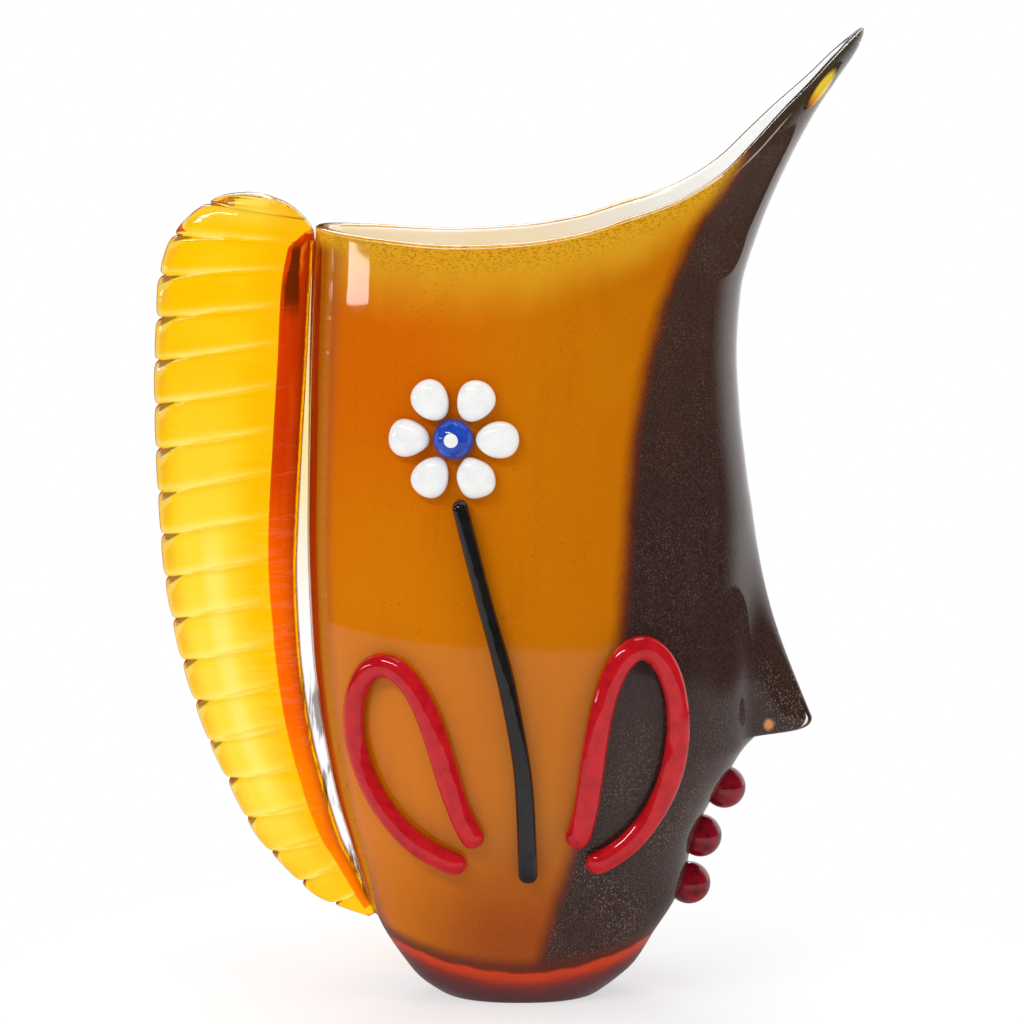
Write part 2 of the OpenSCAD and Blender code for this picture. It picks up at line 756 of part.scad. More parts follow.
// Centre: a cap of a sphere with a flat on top for the pip
centre_ball_r = (pow(centre_d / 2, 2) + pow(centre_h, 2)) / (2 * centre_h);
pip_seat_h = centre_h - centre_ball_r + sqrt(pow(centre_ball_r, 2) - pow(pip_d / 2, 2));
pip_ball_r = (pow(pip_d / 2, 2) + pow(pip_h, 2)) / (2 * pip_h);
centre_sink = 3;
module flower_centre(side) {
    color(blue_glass)
        seated(side, [[flower_x, flower_z]], centre_d / 2 + skin_step)
            on_skin(side, flower_x, flower_z, [1, 0])
                rotate_extrude()
                    intersection() {
                        translate([0, centre_h - centre_ball_r])
                            circle(r = centre_ball_r, $fn = 96);
                        translate([0, -centre_sink])
                            square([centre_d / 2, centre_sink + pip_seat_h]);
                    }
}

module flower_pip(side) {
    color(white_glass)
        on_skin(side, flower_x, flower_z, [1, 0])
            translate([0, 0, pip_seat_h])
                rotate_extrude()
                    intersection() {
                        translate([0, pip_h - pip_ball_r])
                            circle(r = pip_ball_r, $fn = 96);
                        square([pip_d / 2, pip_h]);
                    }
}

// Beads in a row down the edge below the spur
bead_shares = [0.79, 0.6, 0.415];
bead_columns = 5;
module bead(i) {
    z = bead_shares[i] * spur_h;
    x = spout_side_x(z) + bead_reach - bead_d / 2;
    color(ruby_glass)
        difference() {
            translate([x, 0, z])
                rotate([0, 90, 0])
                    sphere(d = bead_d, $fn = 64);
            body_skin([for (c = [cols - bead_columns : cols + bead_columns]) c], z - bead_d, z + bead_d);
        }
}

clear_casing();
amber_wall();
dark_wall();
opal_lining();
foot_gather();
crest_blade();
crest_root();
crest_seam();
for (side = SIDES) {
    stem(side);
    leaf(side, leaf_left_shares);
    leaf(side, leaf_right_shares);
    flower_centre(side);
    flower_pip(side);
    for (i = [1 : petals])
        petal(side, i);
}
bead(0);  // bead_upper
bead(1);  // bead_middle
bead(2);  // bead_lower
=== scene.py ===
import math

import bmesh
import bpy
import numpy as np
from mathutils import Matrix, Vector


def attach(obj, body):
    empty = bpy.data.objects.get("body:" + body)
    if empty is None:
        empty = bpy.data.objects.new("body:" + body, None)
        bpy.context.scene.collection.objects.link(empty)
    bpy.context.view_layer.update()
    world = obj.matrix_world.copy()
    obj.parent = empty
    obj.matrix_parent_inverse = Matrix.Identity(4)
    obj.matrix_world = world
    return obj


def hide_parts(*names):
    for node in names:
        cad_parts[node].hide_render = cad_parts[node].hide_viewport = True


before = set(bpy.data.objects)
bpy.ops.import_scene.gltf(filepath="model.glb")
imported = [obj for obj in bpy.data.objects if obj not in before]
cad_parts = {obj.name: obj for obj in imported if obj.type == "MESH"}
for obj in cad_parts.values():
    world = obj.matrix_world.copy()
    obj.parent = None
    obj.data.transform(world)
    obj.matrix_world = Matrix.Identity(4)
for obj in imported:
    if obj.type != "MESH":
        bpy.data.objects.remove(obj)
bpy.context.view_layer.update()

# ---------------------------------------------------------------------------------------
# Opal lining: the first gather, a thin cup of milk-white glass that faces the cavity.
# The whole wall follows its oval, drawn out into the spout on one edge. It is blown with
# the layers laid over it, and only its inside and the top of its edge are seen.

vase_h = 420
body_w = 190
half_d = 62
oval_power = 2.3
wall_t = 6.4
bowl_h = 15
bowl_edge_h = 18
bowl_rise = 12
rim_start_h = 263
lip_h = 0.6
tip_glass_h = 413.5
lap_h = 3.6
lap_start, lap_fade = 1.15, 0.2
spur_h = 114
spur_reach = 28
spur_nose_t = 7
spur_half_w = 9
spur_root_h = 235
spur_thinning = 0.6
spur_flare = 1.2
spur_columns = 1.2

spout_side_shares = [
    [0, 0.179], [0.018, 0.230], [0.034, 0.267], [0.067, 0.312], [0.1, 0.358],
    [0.123, 0.379], [0.162, 0.396], [0.2, 0.433], [0.25, 0.498], [0.271, 0.52],
    [0.31, 0.522], [0.4, 0.518], [0.5, 0.52], [0.546, 0.513], [0.608, 0.497],
    [0.67, 0.489], [0.731, 0.497], [0.792, 0.535], [0.853, 0.591], [0.914, 0.662],
    [0.945, 0.708], [0.978, 0.756], [1, 0.774],
]
crest_side_shares = [
    [0, -0.179], [0.018, -0.235], [0.034, -0.264], [0.077, -0.324], [0.151, -0.383],
    [0.214, -0.424], [0.302, -0.46], [0.374, -0.476], [0.476, -0.483], [0.612, -0.476],
    [0.714, -0.468], [0.786, -0.46], [1, -0.442],
]
depth_shares = [
    [0, 0.44], [0.018, 0.56], [0.034, 0.64], [0.067, 0.73], [0.121, 0.84], [0.217, 0.94],
    [0.357, 1], [0.6, 1], [0.88, 1], [0.94, 0.82], [0.974, 0.68], [1, 0.5],
]
colour_shares = [
    [0.05, 0.048], [0.138, 0.098], [0.26, 0.171], [0.405, 0.226], [0.53, 0.237],
    [0.68, 0.287], [0.785, 0.367], [0.87, 0.483], [0.92, 0.526], [1, 0.632],
]
rim_shares = [
    [-0.47, 0.796], [-0.338, 0.789], [-0.149, 0.783], [0, 0.786], [0.135, 0.796],
    [0.23, 0.81], [0.324, 0.824], [0.383, 0.837], [0.452, 0.858], [0.517, 0.887],
    [0.577, 0.915], [0.642, 0.943], [0.705, 0.972], [0.774, 1],
]


def along(shares, x, column=1):
    """Value at x on the smooth curve through a table's rows, flat beyond its ends."""
    table = np.array(shares, float)
    places, values = table[:, 0], table[:, column]
    rates = np.diff(values) / np.diff(places)
    level = rates[:-1] * rates[1:] <= 0
    total = np.where(level, 1, rates[:-1] + rates[1:])
    inner = np.where(level, 0, 2 * rates[:-1] * rates[1:] / total)
    slopes = np.concatenate([rates[:1], inner, rates[-1:]])
    at = np.clip(x, places[0], places[-1])
    i = np.clip(np.searchsorted(places, at, side="right") - 1, 0, len(places) - 2)
    w = places[i + 1] - places[i]
    s = (at - places[i]) / w
    return (
        (2 * s**3 - 3 * s**2 + 1) * values[i]
        + (3 * s**2 - 2 * s**3) * values[i + 1]
        + ((s**3 - 2 * s**2 + s) * slopes[i] + (s**3 - s**2) * slopes[i + 1]) * w
    )


def spout_side_x(z):
    return body_w * along(spout_side_shares, z / vase_h)


def crest_side_x(z):
    return body_w * along(crest_side_shares, z / vase_h)


def mid_x(z):
    return (spout_side_x(z) + crest_side_x(z)) / 2


def half_width(z):
    return (spout_side_x(z) - crest_side_x(z)) / 2


def half_depth(z):
    return half_d * along(depth_shares, z / vase_h)


def oval(k):
    return np.maximum(1 - np.abs(k) ** oval_power, 0) ** (1 / oval_power)


def rim_z(x):
    return vase_h * along(rim_shares, x / body_w)


def colour_x(z):
    return body_w * along(colour_shares, z / vase_h)


def spur_pull(z, inset):
    """How far the spur draws the edge of the surface that lies inset from the outside."""
    peak = spur_h + inset + spur_nose_t
    ridge_power, nose_power = 1.8, 3
    corner_reach, corner_fall = 5.5, 3.5

    def ridge(h):
        rest = np.maximum(spur_root_h - h, 0) / (spur_root_h - spur_h - spur_nose_t)
        return spur_reach * rest**ridge_power

    t = np.clip((peak - z) / spur_nose_t, 0, 1)
    nose = ridge(peak) * (1 - t**nose_power) ** (1 / nose_power)
    corner = corner_reach * np.exp(-np.maximum(peak - spur_nose_t - z, 0) / corner_fall)
    return np.where(z < peak, np.maximum(nose, corner), ridge(z))


def xyz(x, y, z):
    return np.stack(np.broadcast_arrays(x, y, z), axis=-1)


def all_round_at(count):
    """Angles of so many points round a ring."""
    return np.linspace(0, 2 * math.pi, count + 1)[:-1]


def wall_point(column, z, inset, spur_inset=None):
    """Point of the wall. Column 0 is the spout's edge, 1 the line between the colours
    and 2 the crest's edge; columns below 0 run round the front."""
    column, z = np.broadcast_arrays(column, z)
    line = np.arccos((colour_x(z) - mid_x(z)) / half_width(z))
    k = np.abs(column)
    turn = np.where(k < 1, line * k, line + (math.pi - line) * (k - 1))
    deep = (half_depth(z) - inset) * oval(np.cos(turn))
    x = mid_x(z) + (half_width(z) - inset) * np.cos(turn)
    if spur_inset is not None:
        flare = np.clip((z - spur_h) / (spur_root_h - spur_h), 0, 1)
        wide = (spur_half_w - spur_thinning * spur_inset) * (1 + spur_flare * flare)
        pull = spur_pull(z, spur_inset) * np.exp(-((deep / wide) ** 2))
        x = x + np.where(k < spur_columns, pull, 0)
    return xyz(x, np.where(column < 0, -deep, deep), z)


def rim_at(columns, inset):
    """Height of the rim at each column of the surface that lies inset."""
    low, high = np.full(len(columns), float(rim_start_h)), np.full(len(columns), float(vase_h))
    for _ in range(30):
        middle = (low + high) / 2
        over = middle > rim_z(wall_point(columns, middle, inset)[:, 0])
        low, high = np.where(over, low, middle), np.where(over, middle, high)
    return (low + high) / 2


def below_lip(columns, inset, drop=0.0):
    """Top of a layer there, which stops short of the clear tip of the spout."""
    return np.minimum(rim_at(columns, inset), tip_glass_h) - lip_h - drop


def lapping(columns):
    """1 on the front of the spout, where the dark glass closes over the opal's edge."""
    return np.where(columns < 0, np.clip(lap_start + columns, 0, lap_fade) / lap_fade, 0)


def edge_h(columns):
    """Height of the coloured bowl's bottom edge, which rises below spout and crest."""
    z = np.full(len(columns), float(bowl_edge_h))
    share = (wall_point(columns, z, 0)[:, 0] - mid_x(z)) / half_width(z)
    return bowl_edge_h + bowl_rise * share**2


def wall_rows(inset, low, top):
    """Rows by columns of heights from low to top, close together round the spur."""
    spur_rows = np.array([
        1, 0.9995, 0.998, 0.99, 0.98, 0.96, 0.93, 0.88, 0.8, 0.7, 0.6, 0.45, 0.3, 0.15, 0,
    ])
    bowl_top, gap = 34, 3
    tip, peak = spur_h + inset, spur_h + inset + spur_nose_t
    fixed = np.concatenate([
        np.linspace(bowl_top + gap, tip - 14, 16),
        np.linspace(tip - 12, tip - 0.6, 14),
        peak - spur_nose_t * spur_rows,
        np.linspace(peak + 2, rim_start_h - gap, 36),
    ])
    foot = np.linspace(0, 1, 16)[:-1, None]
    high = np.linspace(0, 1, 45)[:, None]
    return np.concatenate([
        low + foot * (bowl_top - low),
        np.repeat(fixed[:, None], len(low), axis=1),
        rim_start_h + high * (top - rim_start_h),
    ])


line_at = 60
dark_columns = np.linspace(0, 1, line_at + 1)
dark_columns = 0.35 * dark_columns + 0.65 * dark_columns**2
half_round = np.concatenate([dark_columns, 1 + np.linspace(0, 1, 71)[1:]])
all_round = np.concatenate([half_round, -half_round[-2:0:-1]])


def ring_faces(rows, count, closed=True):
    """Quads between rings of points that follow one another."""
    row, place = np.mgrid[0 : rows - 1, 0 : count if closed else count - 1]
    here = (row * count + place).ravel()
    beside = (row * count + (place + 1) % count).ravel()
    return np.stack([here, beside, beside + count, here + count], axis=1).tolist()


mm_per_m = 1000
same_point = 2e-6


def blow(name, node, points, faces, glass, marks=(), crease=50):
    """Piece of glass from points in mm, which stands for a node of the model. Marks are
    numbers at the points that its colour follows."""
    mesh = bpy.data.meshes.new(name)
    mesh.from_pydata((np.asarray(points) / mm_per_m).reshape(-1, 3).tolist(), [], faces)
    for mark, numbers in dict(marks).items():
        kept = mesh.attributes.new(mark, "FLOAT", "POINT")
        kept.data.foreach_set("value", np.asarray(numbers, np.float32).ravel())
    work = bmesh.new()
    work.from_mesh(mesh)
    bmesh.ops.remove_doubles(work, verts=work.verts, dist=same_point)
    bmesh.ops.recalc_face_normals(work, faces=work.faces)
    work.to_mesh(mesh)
    work.free()
    mesh.shade_smooth()
    mesh.set_sharp_from_angle(angle=math.radians(crease))
    mesh.materials.append(glass)
    made = bpy.data.objects.new(name, mesh)
    bpy.context.collection.objects.link(made)
    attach(made, "root")
    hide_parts(node)


def stack(rings):
    """Points and faces of a solid whose surface runs ring by ring."""
    rings = np.asarray(rings)
    rows, count = rings.shape[:2]
    faces = ring_faces(rows, count)
    faces += [list(range(count)), list(range((rows - 1) * count, rows * count))]
    return rings, faces


class Flow:
    """What flows out of a node's socket, so that sums on it read as Python."""

    def __init__(self, melt, socket):
        self.melt = melt
        self.socket = socket

    def sum_with(self, operation, *values):
        return self.melt.node("Math", {"operation": operation}, dict(enumerate(values)))

    def __add__(self, other):
        return self.sum_with("ADD", self, other)

    def __sub__(self, other):
        return self.sum_with("SUBTRACT", self, other)

    def __rsub__(self, other):
        return self.sum_with("SUBTRACT", other, self)

    def __mul__(self, other):
        return self.sum_with("MULTIPLY", self, other)

    def __truediv__(self, other):
        return self.sum_with("DIVIDE", self, other)

    def __pow__(self, other):
        return self.sum_with("POWER", self, other)

    def __mod__(self, other):
        return self.sum_with("FLOORED_MODULO", self, other)

    def __abs__(self):
        return self.sum_with("ABSOLUTE", self)

    def __or__(self, other):
        return self.sum_with("MAXIMUM", self, other)

    __radd__ = __add__
    __rmul__ = __mul__


class Melt:
    """The nodes of one glass, or of what surrounds it."""

    def __init__(self, block):
        block.use_nodes = True
        self.block = block
        self.tree = block.node_tree
        self.tree.nodes.clear()

    def node(self, kind, settings=(), sockets=(), out=0):
        """What flows out of a new node with these settings, values and links. The
        setting stops gives a colour ramp its places and colours."""
        made = self.tree.nodes.new("ShaderNode" + kind)
        for setting, choice in dict(settings).items():
            if setting == "stops":
                stops = made.color_ramp.elements
                for _ in range(len(choice) - 2):
                    stops.new(0.5)
                for stop, (place, colour) in zip(stops, choice):
                    stop.position = place
                    stop.color = colour
            else:
                setattr(made, setting, choice)
        for socket, value in dict(sockets).items():
            if isinstance(value, Flow):
                self.tree.links.new(value.socket, made.inputs[socket])
            else:
                made.inputs[socket].default_value = value
        return Flow(self, made.outputs[out]) if made.outputs else None

    def ease(self, value, start, end):
        """0 before start and 1 after end, with a soft change between them."""
        settings = {"interpolation_type": "SMOOTHSTEP"}
        return self.node("MapRange", settings, {0: value, 1: start, 2: end})

    def mix(self, share, first, second):
        return self.node("Mix", {"data_type": "RGBA"}, {0: share, 6: first, 7: second}, 2)

    def band(self, value, start, full, fade, end):
        """1 from full to fade, and 0 before start and after end."""
        return self.ease(value, start, full) * self.ease(value, end, fade)

    def coats(self, colour, *coats):
        """Colour under coats laid on in turn, each a share and a colour on a screen."""
        for share, *tint in coats:
            colour = self.mix(share, colour, srgb(*tint))
        return colour

    def place(self):
        """Place on the object, in mm."""
        metres = self.node("TexCoord", out="Object")
        return self.node("VectorMath", {"operation": "SCALE"}, {0: metres, "Scale": mm_per_m})

    def parts(self, place, *axes):
        """Numbers of a place along these axes, 0 across, 1 deep and 2 up."""
        return [self.node("SeparateXYZ", {}, {0: place}, out=axis) for axis in axes]

    def mark(self, name):
        """Numbers that were marked at the points."""
        return self.node("Attribute", {"attribute_name": name}, out="Fac")

    def stretched(self, place, x, y, z):
        return self.node("VectorMath", {"operation": "MULTIPLY"}, {0: place, 1: (x, y, z)})

    def noise(self, place, size, detail=2.0, rough=0.5):
        """Cloudy noise about 0.5, with clouds of about this size in mm."""
        sockets = {"Vector": place, "Scale": 1 / size, "Detail": detail, "Roughness": rough}
        return self.node("TexNoise", {}, sockets)

    def seeds(self, place, apart):
        """Distance to the nearest of scattered points, as a share of how far apart."""
        return self.node("TexVoronoi", {}, {"Vector": place, "Scale": 1 / apart})

    def bump(self, height, tall):
        return self.node("Bump", {}, {"Height": height, "Distance": tall / mm_per_m})

    def finish(self, surface):
        self.node("OutputMaterial", {}, {"Surface": surface})
        return self.block

    def ray(self, kind):
        return self.node("LightPath", out="Is %s Ray" % kind)

    def lit_through(self, surface, tint):
        """Glass that lamps and soft light pass, tinted, instead of casting a shadow."""
        through = self.node("BsdfTransparent", {}, {"Color": tint})
        light = self.ray("Shadow") | self.ray("Diffuse")
        return self.node("MixShader", {}, {0: light, 1: surface, 2: through})


def melt(name):
    return Melt(bpy.data.materials.new(name))


def srgb(red, green, blue):
    """Colour from its 0 to 255 numbers on a screen."""
    linear = [
        c / 255 / 12.92 if c <= 10 else ((c / 255 + 0.055) / 1.055) ** 2.4
        for c in (red, green, blue)
    ]
    return (*linear, 1)


def opal_glass():
    glass = melt("opal_glass")
    place = glass.place()
    across, height = glass.parts(place, 0, 2)
    milk = glass.noise(glass.stretched(place, 1, 1, 0.35), 22, 3)
    # Peach on the crest's side is painted amber light; the spout's side is white.
    cream = glass.mix(glass.ease(across, -10, 70), srgb(248, 230, 194), srgb(244, 244, 242))
    colour = glass.coats(
        cream,
        (glass.ease(milk, 0.35, 0.7) * 0.35, 252, 250, 244),
        # Painted shade: darker and warmer further down the cavity.
        (glass.ease(height, 300, 120) * 0.5, 226, 206, 170),
        # Painted light: whiter inside the spout.
        (glass.ease(across, 70, 100), 253, 253, 252),
    )
    # The emission is a painted glow, as if light came through the lining.
    return glass.finish(glass.node("BsdfPrincipled", {}, {
        "Base Color": colour, "Roughness": 0.12, "Coat Weight": 0.4, "Coat Roughness": 0.03,
        "Normal": glass.bump(milk, 0.4), "Emission Color": colour, "Emission Strength": 0.08,
    }))


def floor_rings(columns, inset, lowest):
    """Rings of the bowl's rounded bottom, inside the wall from its edge to the middle."""
    low, floor = edge_h(columns) + lowest, bowl_h + lowest
    rings = [
        wall_point(columns, low + depth * (floor - low), inset + further)
        for depth, further in [[0.35, 0.6], [0.65, 2], [0.85, 4.5], [0.96, 8], [1, 13]]
    ]
    centre = np.array([mid_x(floor), 0, floor])
    return rings + [centre + (rings[-1] - centre) * size for size in (0.5, 0.04)]


def cup_rings(columns, inset, top, lowest):
    """Rings of a closed cup: its wall from the top down, and its rounded bottom."""
    low = edge_h(columns) + lowest
    wall = wall_point(columns, wall_rows(inset, low, top)[::-1], inset)
    return list(wall) + floor_rings(columns, inset, lowest)


def rounded_edge(columns, outer, inner, top_at, crown, rows=7):
    """Rings over the top edge of a layer, from its outer face to its inner face."""
    middle, half_t = (outer + inner) / 2, (inner - outer) / 2
    rings = []
    for angle in np.linspace(0, math.pi, rows + 2)[1:-1]:
        inset = middle - half_t * math.cos(angle)
        z = top_at(columns, inset) + crown * math.sin(angle)
        rings.append(wall_point(columns, z, inset))
    return rings


lining_hidden = 4.6


def lining_top(columns, inset):
    return below_lip(columns, inset, lap_h * lapping(columns))


outside = cup_rings(all_round, lining_hidden, lining_top(all_round, lining_hidden), lowest=1.6)
edge = rounded_edge(all_round, lining_hidden, wall_t, lining_top, crown=0.4)
inside = cup_rings(all_round, wall_t, lining_top(all_round, wall_t), lowest=3.4)
blow("opal_layer", "opal_lining", *stack(outside[::-1] + edge + inside), opal_glass())

# ---------------------------------------------------------------------------------------
# Amber and dark layers: crushed colour rolled on over the opal, amber round the crest's
# two thirds and aubergine with gold leaf round the spout's third. They meet in a soft
# slanting line, and the dark glass fills the spur when that is pulled out.

casing_t = 3
lining_outside = 5.2
lap_inset = 5.9
lap_bend_h, lap_bend_over = 3, 1.5
dark_spur_inset = 0.7


def wall_glass(name):
    glass = melt(name)
    place = glass.place()
    across, height = glass.parts(place, 0, 2)
    line, above, below, turn = map(glass.mark, ("line", "above", "below", "turn"))
    cloud = glass.noise(glass.stretched(place, 1, 1, 0.6), 34, 4, 0.6)
    streak = glass.noise(glass.stretched(place, 1, 1, 0.14), 8, 3)
    grain = glass.noise(place, 0.9, 2)

    # Amber: redder high up beside the crest, browner low down, and lighter at the rim,
    # with fine flecks there and bubbles in crowds. Along the weld a mauve band is a painted
    # reflection of the crest, and the dark red-brown next to it is partly thicker glass and
    # partly painted shade from the weld.
    top_left = glass.ease(height, 180, 280) * glass.ease(across, 10, -55)
    low = glass.ease(height, 98, 34) * (glass.ease(across, -62, -8) * 0.75 + 0.25)
    flecks = glass.seeds(glass.stretched(place, 0.5, 0.6, 1.2), 0.85)
    bubbles = glass.seeds(glass.stretched(place, 0.7, 0.7, 1), 2.4)
    crowd = glass.ease(glass.noise(place, 30, 2), 0.42, 0.66)
    off_lip = glass.ease(below, 1.5, 9)
    amber = glass.coats(
        glass.mix(glass.ease(across, -75, 60), srgb(217, 120, 2), srgb(196, 110, 2)),
        (top_left * 0.85, 214, 98, 1),
        (glass.ease(cloud, 0.45, 0.75) * 0.35, 206, 128, 6),
        (glass.ease(streak, 0.5, 0.78) * 0.22, 180, 92, 2),
        (glass.ease(below + (cloud - 0.5) * 24, 34, 3) * 0.85, 230, 170, 36),
        (low, 156, 70, 14),
        (glass.ease(flecks, 0.5, 0.2) * glass.ease(below, 17, 0) * 0.7, 122, 92, 10),
        (glass.ease(bubbles, 0.2, 0.1) * (crowd * 0.4 + 0.06), 140, 78, 4),
        (glass.ease(grain, 0.5, 0.8) * 0.18, 226, 150, 30),
        # Painted reflection of the crest, then a dark red-brown that is partly painted shade.
        (glass.ease(turn, 1.74, 1.82) * off_lip * 0.7, 166, 84, 40),
        (glass.ease(turn, 1.82, 1.87) * off_lip * 0.95, 146, 42, 2),
    )

    # Dark: a little browner high up, with dust and gold leaf that lie closer low down and
    # at the spur.
    leaf = glass.seeds(glass.stretched(place, 1, 1, 0.75), 1.05)
    dust = glass.seeds(place, 0.62)
    patches = glass.ease(glass.noise(place, 24, 3), 0.42, 0.62)
    low_down = glass.ease(height, 150, 45)
    at_spur = glass.ease(across, 98, 116) * glass.ease(height, 190, 140)
    rich = low_down * 0.45 + at_spur * 0.7 + 0.22
    gold = glass.ease(leaf, 0.36, 0.16) * (patches * 0.45 + 0.05) * rich
    gilt = glass.mix(glass.ease(grain, 0.4, 0.6), srgb(212, 164, 96), srgb(190, 182, 170))
    dark = glass.coats(
        glass.mix(glass.ease(height, 330, 200), srgb(62, 42, 32), srgb(50, 33, 30)),
        (glass.ease(streak, 0.45, 0.8) * 0.35, 78, 44, 38),
        (glass.ease(grain, 0.45, 0.75) * 0.35, 96, 76, 68),
        (glass.ease(dust, 0.4, 0.15) * (low_down * 0.2 + 0.14), 138, 116, 106),
    )
    dark = glass.mix(gold, dark, gilt)

    # At the lip the dark glass is lapped, with a pale line of painted highlight under it.
    # A long glint of painted amber light lies on the spout, and a painted spark at the spur.
    fold = glass.band(below, 5.8, 6.6, 7, 7.8)
    fold = fold * glass.ease(across, 84, 92) * glass.ease(across, 114, 106)
    # The pale fold line is a painted highlight.
    dark = glass.coats(
        dark, (glass.ease(below, 7.4, 6.2) * 0.7, 62, 56, 38), (fold * 0.8, 222, 198, 190),
    )
    # Painted glint of amber light on the spout.
    glint_x, glint_z, glint_l, glint_w = 125.4, 394, 8.5, 1.8
    glint_along = (across - glint_x) * 0.6 + (height - glint_z) * 0.8
    glint_over = (across - glint_x) * 0.8 - (height - glint_z) * 0.6
    glint = ((glint_along / glint_l) ** 2 + (glint_over / glint_w) ** 2) ** 0.5
    painted_glint_colour = glass.mix(glass.ease(glint_along, -9, 0), srgb(226, 124, 10), srgb(252, 214, 60))
    dark = glass.mix(glass.ease(glint, 1.35, 0.75), dark, painted_glint_colour)
    # Painted spark of orange light at the spur.
    spark_x, spark_z, spark_w, spark_h = 107.4, 119.4, 2.4, 2.6
    spark = ((across - spark_x) / spark_w) ** 2 + ((height - spark_z) / spark_h) ** 2
    spark = spark**0.5 + (grain - 0.5) * 0.9
    dark = glass.coats(dark, (glass.ease(spark, 1.3, 0.4) * 0.8, 236, 158, 92))

    edge = line + (cloud - 0.5) * 8 + (grain - 0.5) * 3
    colour = glass.coats(
        glass.mix(glass.ease(edge, -2.6, 1.6), amber, dark),
        (glass.band(edge, -6, -1, 0, 4) * 0.55, 112, 40, 12),
        # Painted shadow: a dark band just above the bowl's edge.
        (glass.ease(above, 8, 1) * 0.85, 92, 36, 24),
    )
    return glass.finish(glass.node("BsdfPrincipled", {}, {
        "Base Color": colour, "Roughness": 0.55, "Specular IOR Level": 0,
    }))


def wall_layer(name, node, columns, spur_inset=None):
    """Layer between two columns, from the bowl's edge to the lip, closed all round. On
    the front, the dark glass closes over the opal at the spout's lip."""
    grids, marks = [], {"line": [], "above": [], "below": [], "turn": []}
    low = edge_h(columns)
    lapped = spur_inset is not None
    for inset, spur_cut, inner in (
        (casing_t, spur_inset, False), (lining_outside, None, True),
    ):
        top = below_lip(columns, inset)
        heights = wall_rows(inset, low, top)
        grid = wall_point(columns, heights, inset, spur_cut)
        if lapped and inner:
            bend = np.clip((heights - top + lap_bend_h) / lap_bend_over, 0, 1)
            lap = lapping(columns) * bend
            grid = grid + (wall_point(columns, heights, lap_inset) - grid) * lap[..., None]
            grid[-1, :, 2] += lap[-1] * 0.4
        grids.append(grid)
        marks["line"].append(grid[:, :, 0] - colour_x(heights))
        marks["above"].append(heights - low)
        marks["below"].append(top - heights)
        marks["turn"].append(np.broadcast_to(np.abs(columns), heights.shape))
    rows, count = grids[0].shape[:2]
    size = rows * count
    faces = ring_faces(rows, count, False)
    faces += [[i + size for i in face] for face in faces]
    row, place = np.arange(rows - 1) * count, np.arange(count - 1)
    for starts, step in (
        (row, count), (row + count - 1, count), (place, 1), (place + size - count, 1),
    ):
        quads = [starts, starts + step, starts + step + size, starts + size]
        faces += np.stack(quads, axis=1).tolist()
    blow(name, node, np.concatenate(grids), faces, wall_glass(name + "_glass"), marks)


crest_part = np.concatenate([half_round[line_at:], -half_round[-2 : line_at - 1 : -1]])
spout_part = np.concatenate([-half_round[line_at:0:-1], half_round[: line_at + 1]])
wall_layer("amber_layer", "amber_wall", crest_part)
wall_layer("dark_layer", "dark_wall", spout_part, dark_spur_inset)

# ---------------------------------------------------------------------------------------
# Red foot: a gather of orange-red glass under the bowl, with purple drawn down to the
# table. It is solid, and clear glass closes over it when the vase is dipped.

foot_low, foot_inset = 2.0, 3.6
foot_steps = [[9, 0], [5, 0.01], [foot_inset, 0.04]]
foot_steps += [[casing_t, share] for share in (0.12, 0.25, 0.4, 0.55, 0.7, 0.85, 1)]


def foot_glass():
    glass = melt("foot_glass")
    place = glass.place()
    cloud = glass.noise(glass.stretched(place, 1, 1, 1.6), 12, 3)
    depth = glass.mark("above") + (cloud - 0.5) * 4
    colour = glass.node("ValToRGB", {"stops": [
        (0, srgb(84, 38, 42)), (0.3, srgb(98, 42, 42)), (0.52, srgb(134, 44, 34)),
        (0.75, srgb(196, 58, 24)), (0.9, srgb(204, 64, 26)), (1, srgb(112, 32, 20)),
    ]}, {0: glass.node("MapRange", {}, {0: depth, 1: -16, 2: 0})})
    return glass.finish(glass.node("BsdfPrincipled", {}, {
        "Base Color": colour, "Roughness": 0.5, "Specular IOR Level": 0,
    }))


foot_edge = edge_h(all_round)
foot_rows = [
    wall_point(all_round, foot_low + share * (foot_edge - foot_low), inset)
    for inset, share in foot_steps
]
foot_rows += floor_rings(all_round, foot_inset, lowest=0.2)
points, faces = stack(foot_rows)
marks = {"above": points[:, :, 2] - foot_edge}
blow("red_foot", "foot_gather", points, faces, foot_glass(), marks)

# ---------------------------------------------------------------------------------------
# Clear casing: the last gather, dipped over everything. It makes the smooth outside, the
# fire-polished lip, the skin of the spur and the ground flat under the foot.

casing_hidden = 4.3
under_lap = 5.8
lip_round = 1.3
tip_way = np.array([0.66, 0, 0.75])
tip_drop, tip_round = 4, 2.2
clear = (1, 1, 1, 1)


def clear_glass():
    glass = melt("clear_glass")
    place = glass.place()
    wave = glass.noise(glass.stretched(place, 1, 1, 0.4), 38, 2)
    surface = glass.node("BsdfPrincipled", {}, {
        "Base Color": clear, "Roughness": 0.03, "IOR": 1.5, "Transmission Weight": 1,
        "Normal": glass.bump(wave, 0.15),
    })
    return glass.finish(glass.lit_through(surface, clear))


def blunt(points):
    """The spout's tip draws back into a drop in the flame."""
    along_tip = (points - [spout_side_x(float(vase_h)), 0, vase_h]) @ tip_way
    past = np.maximum(along_tip + tip_drop, 0)
    back = past - tip_round * (1 - np.exp(-past / tip_round))
    return points - back[..., None] * tip_way


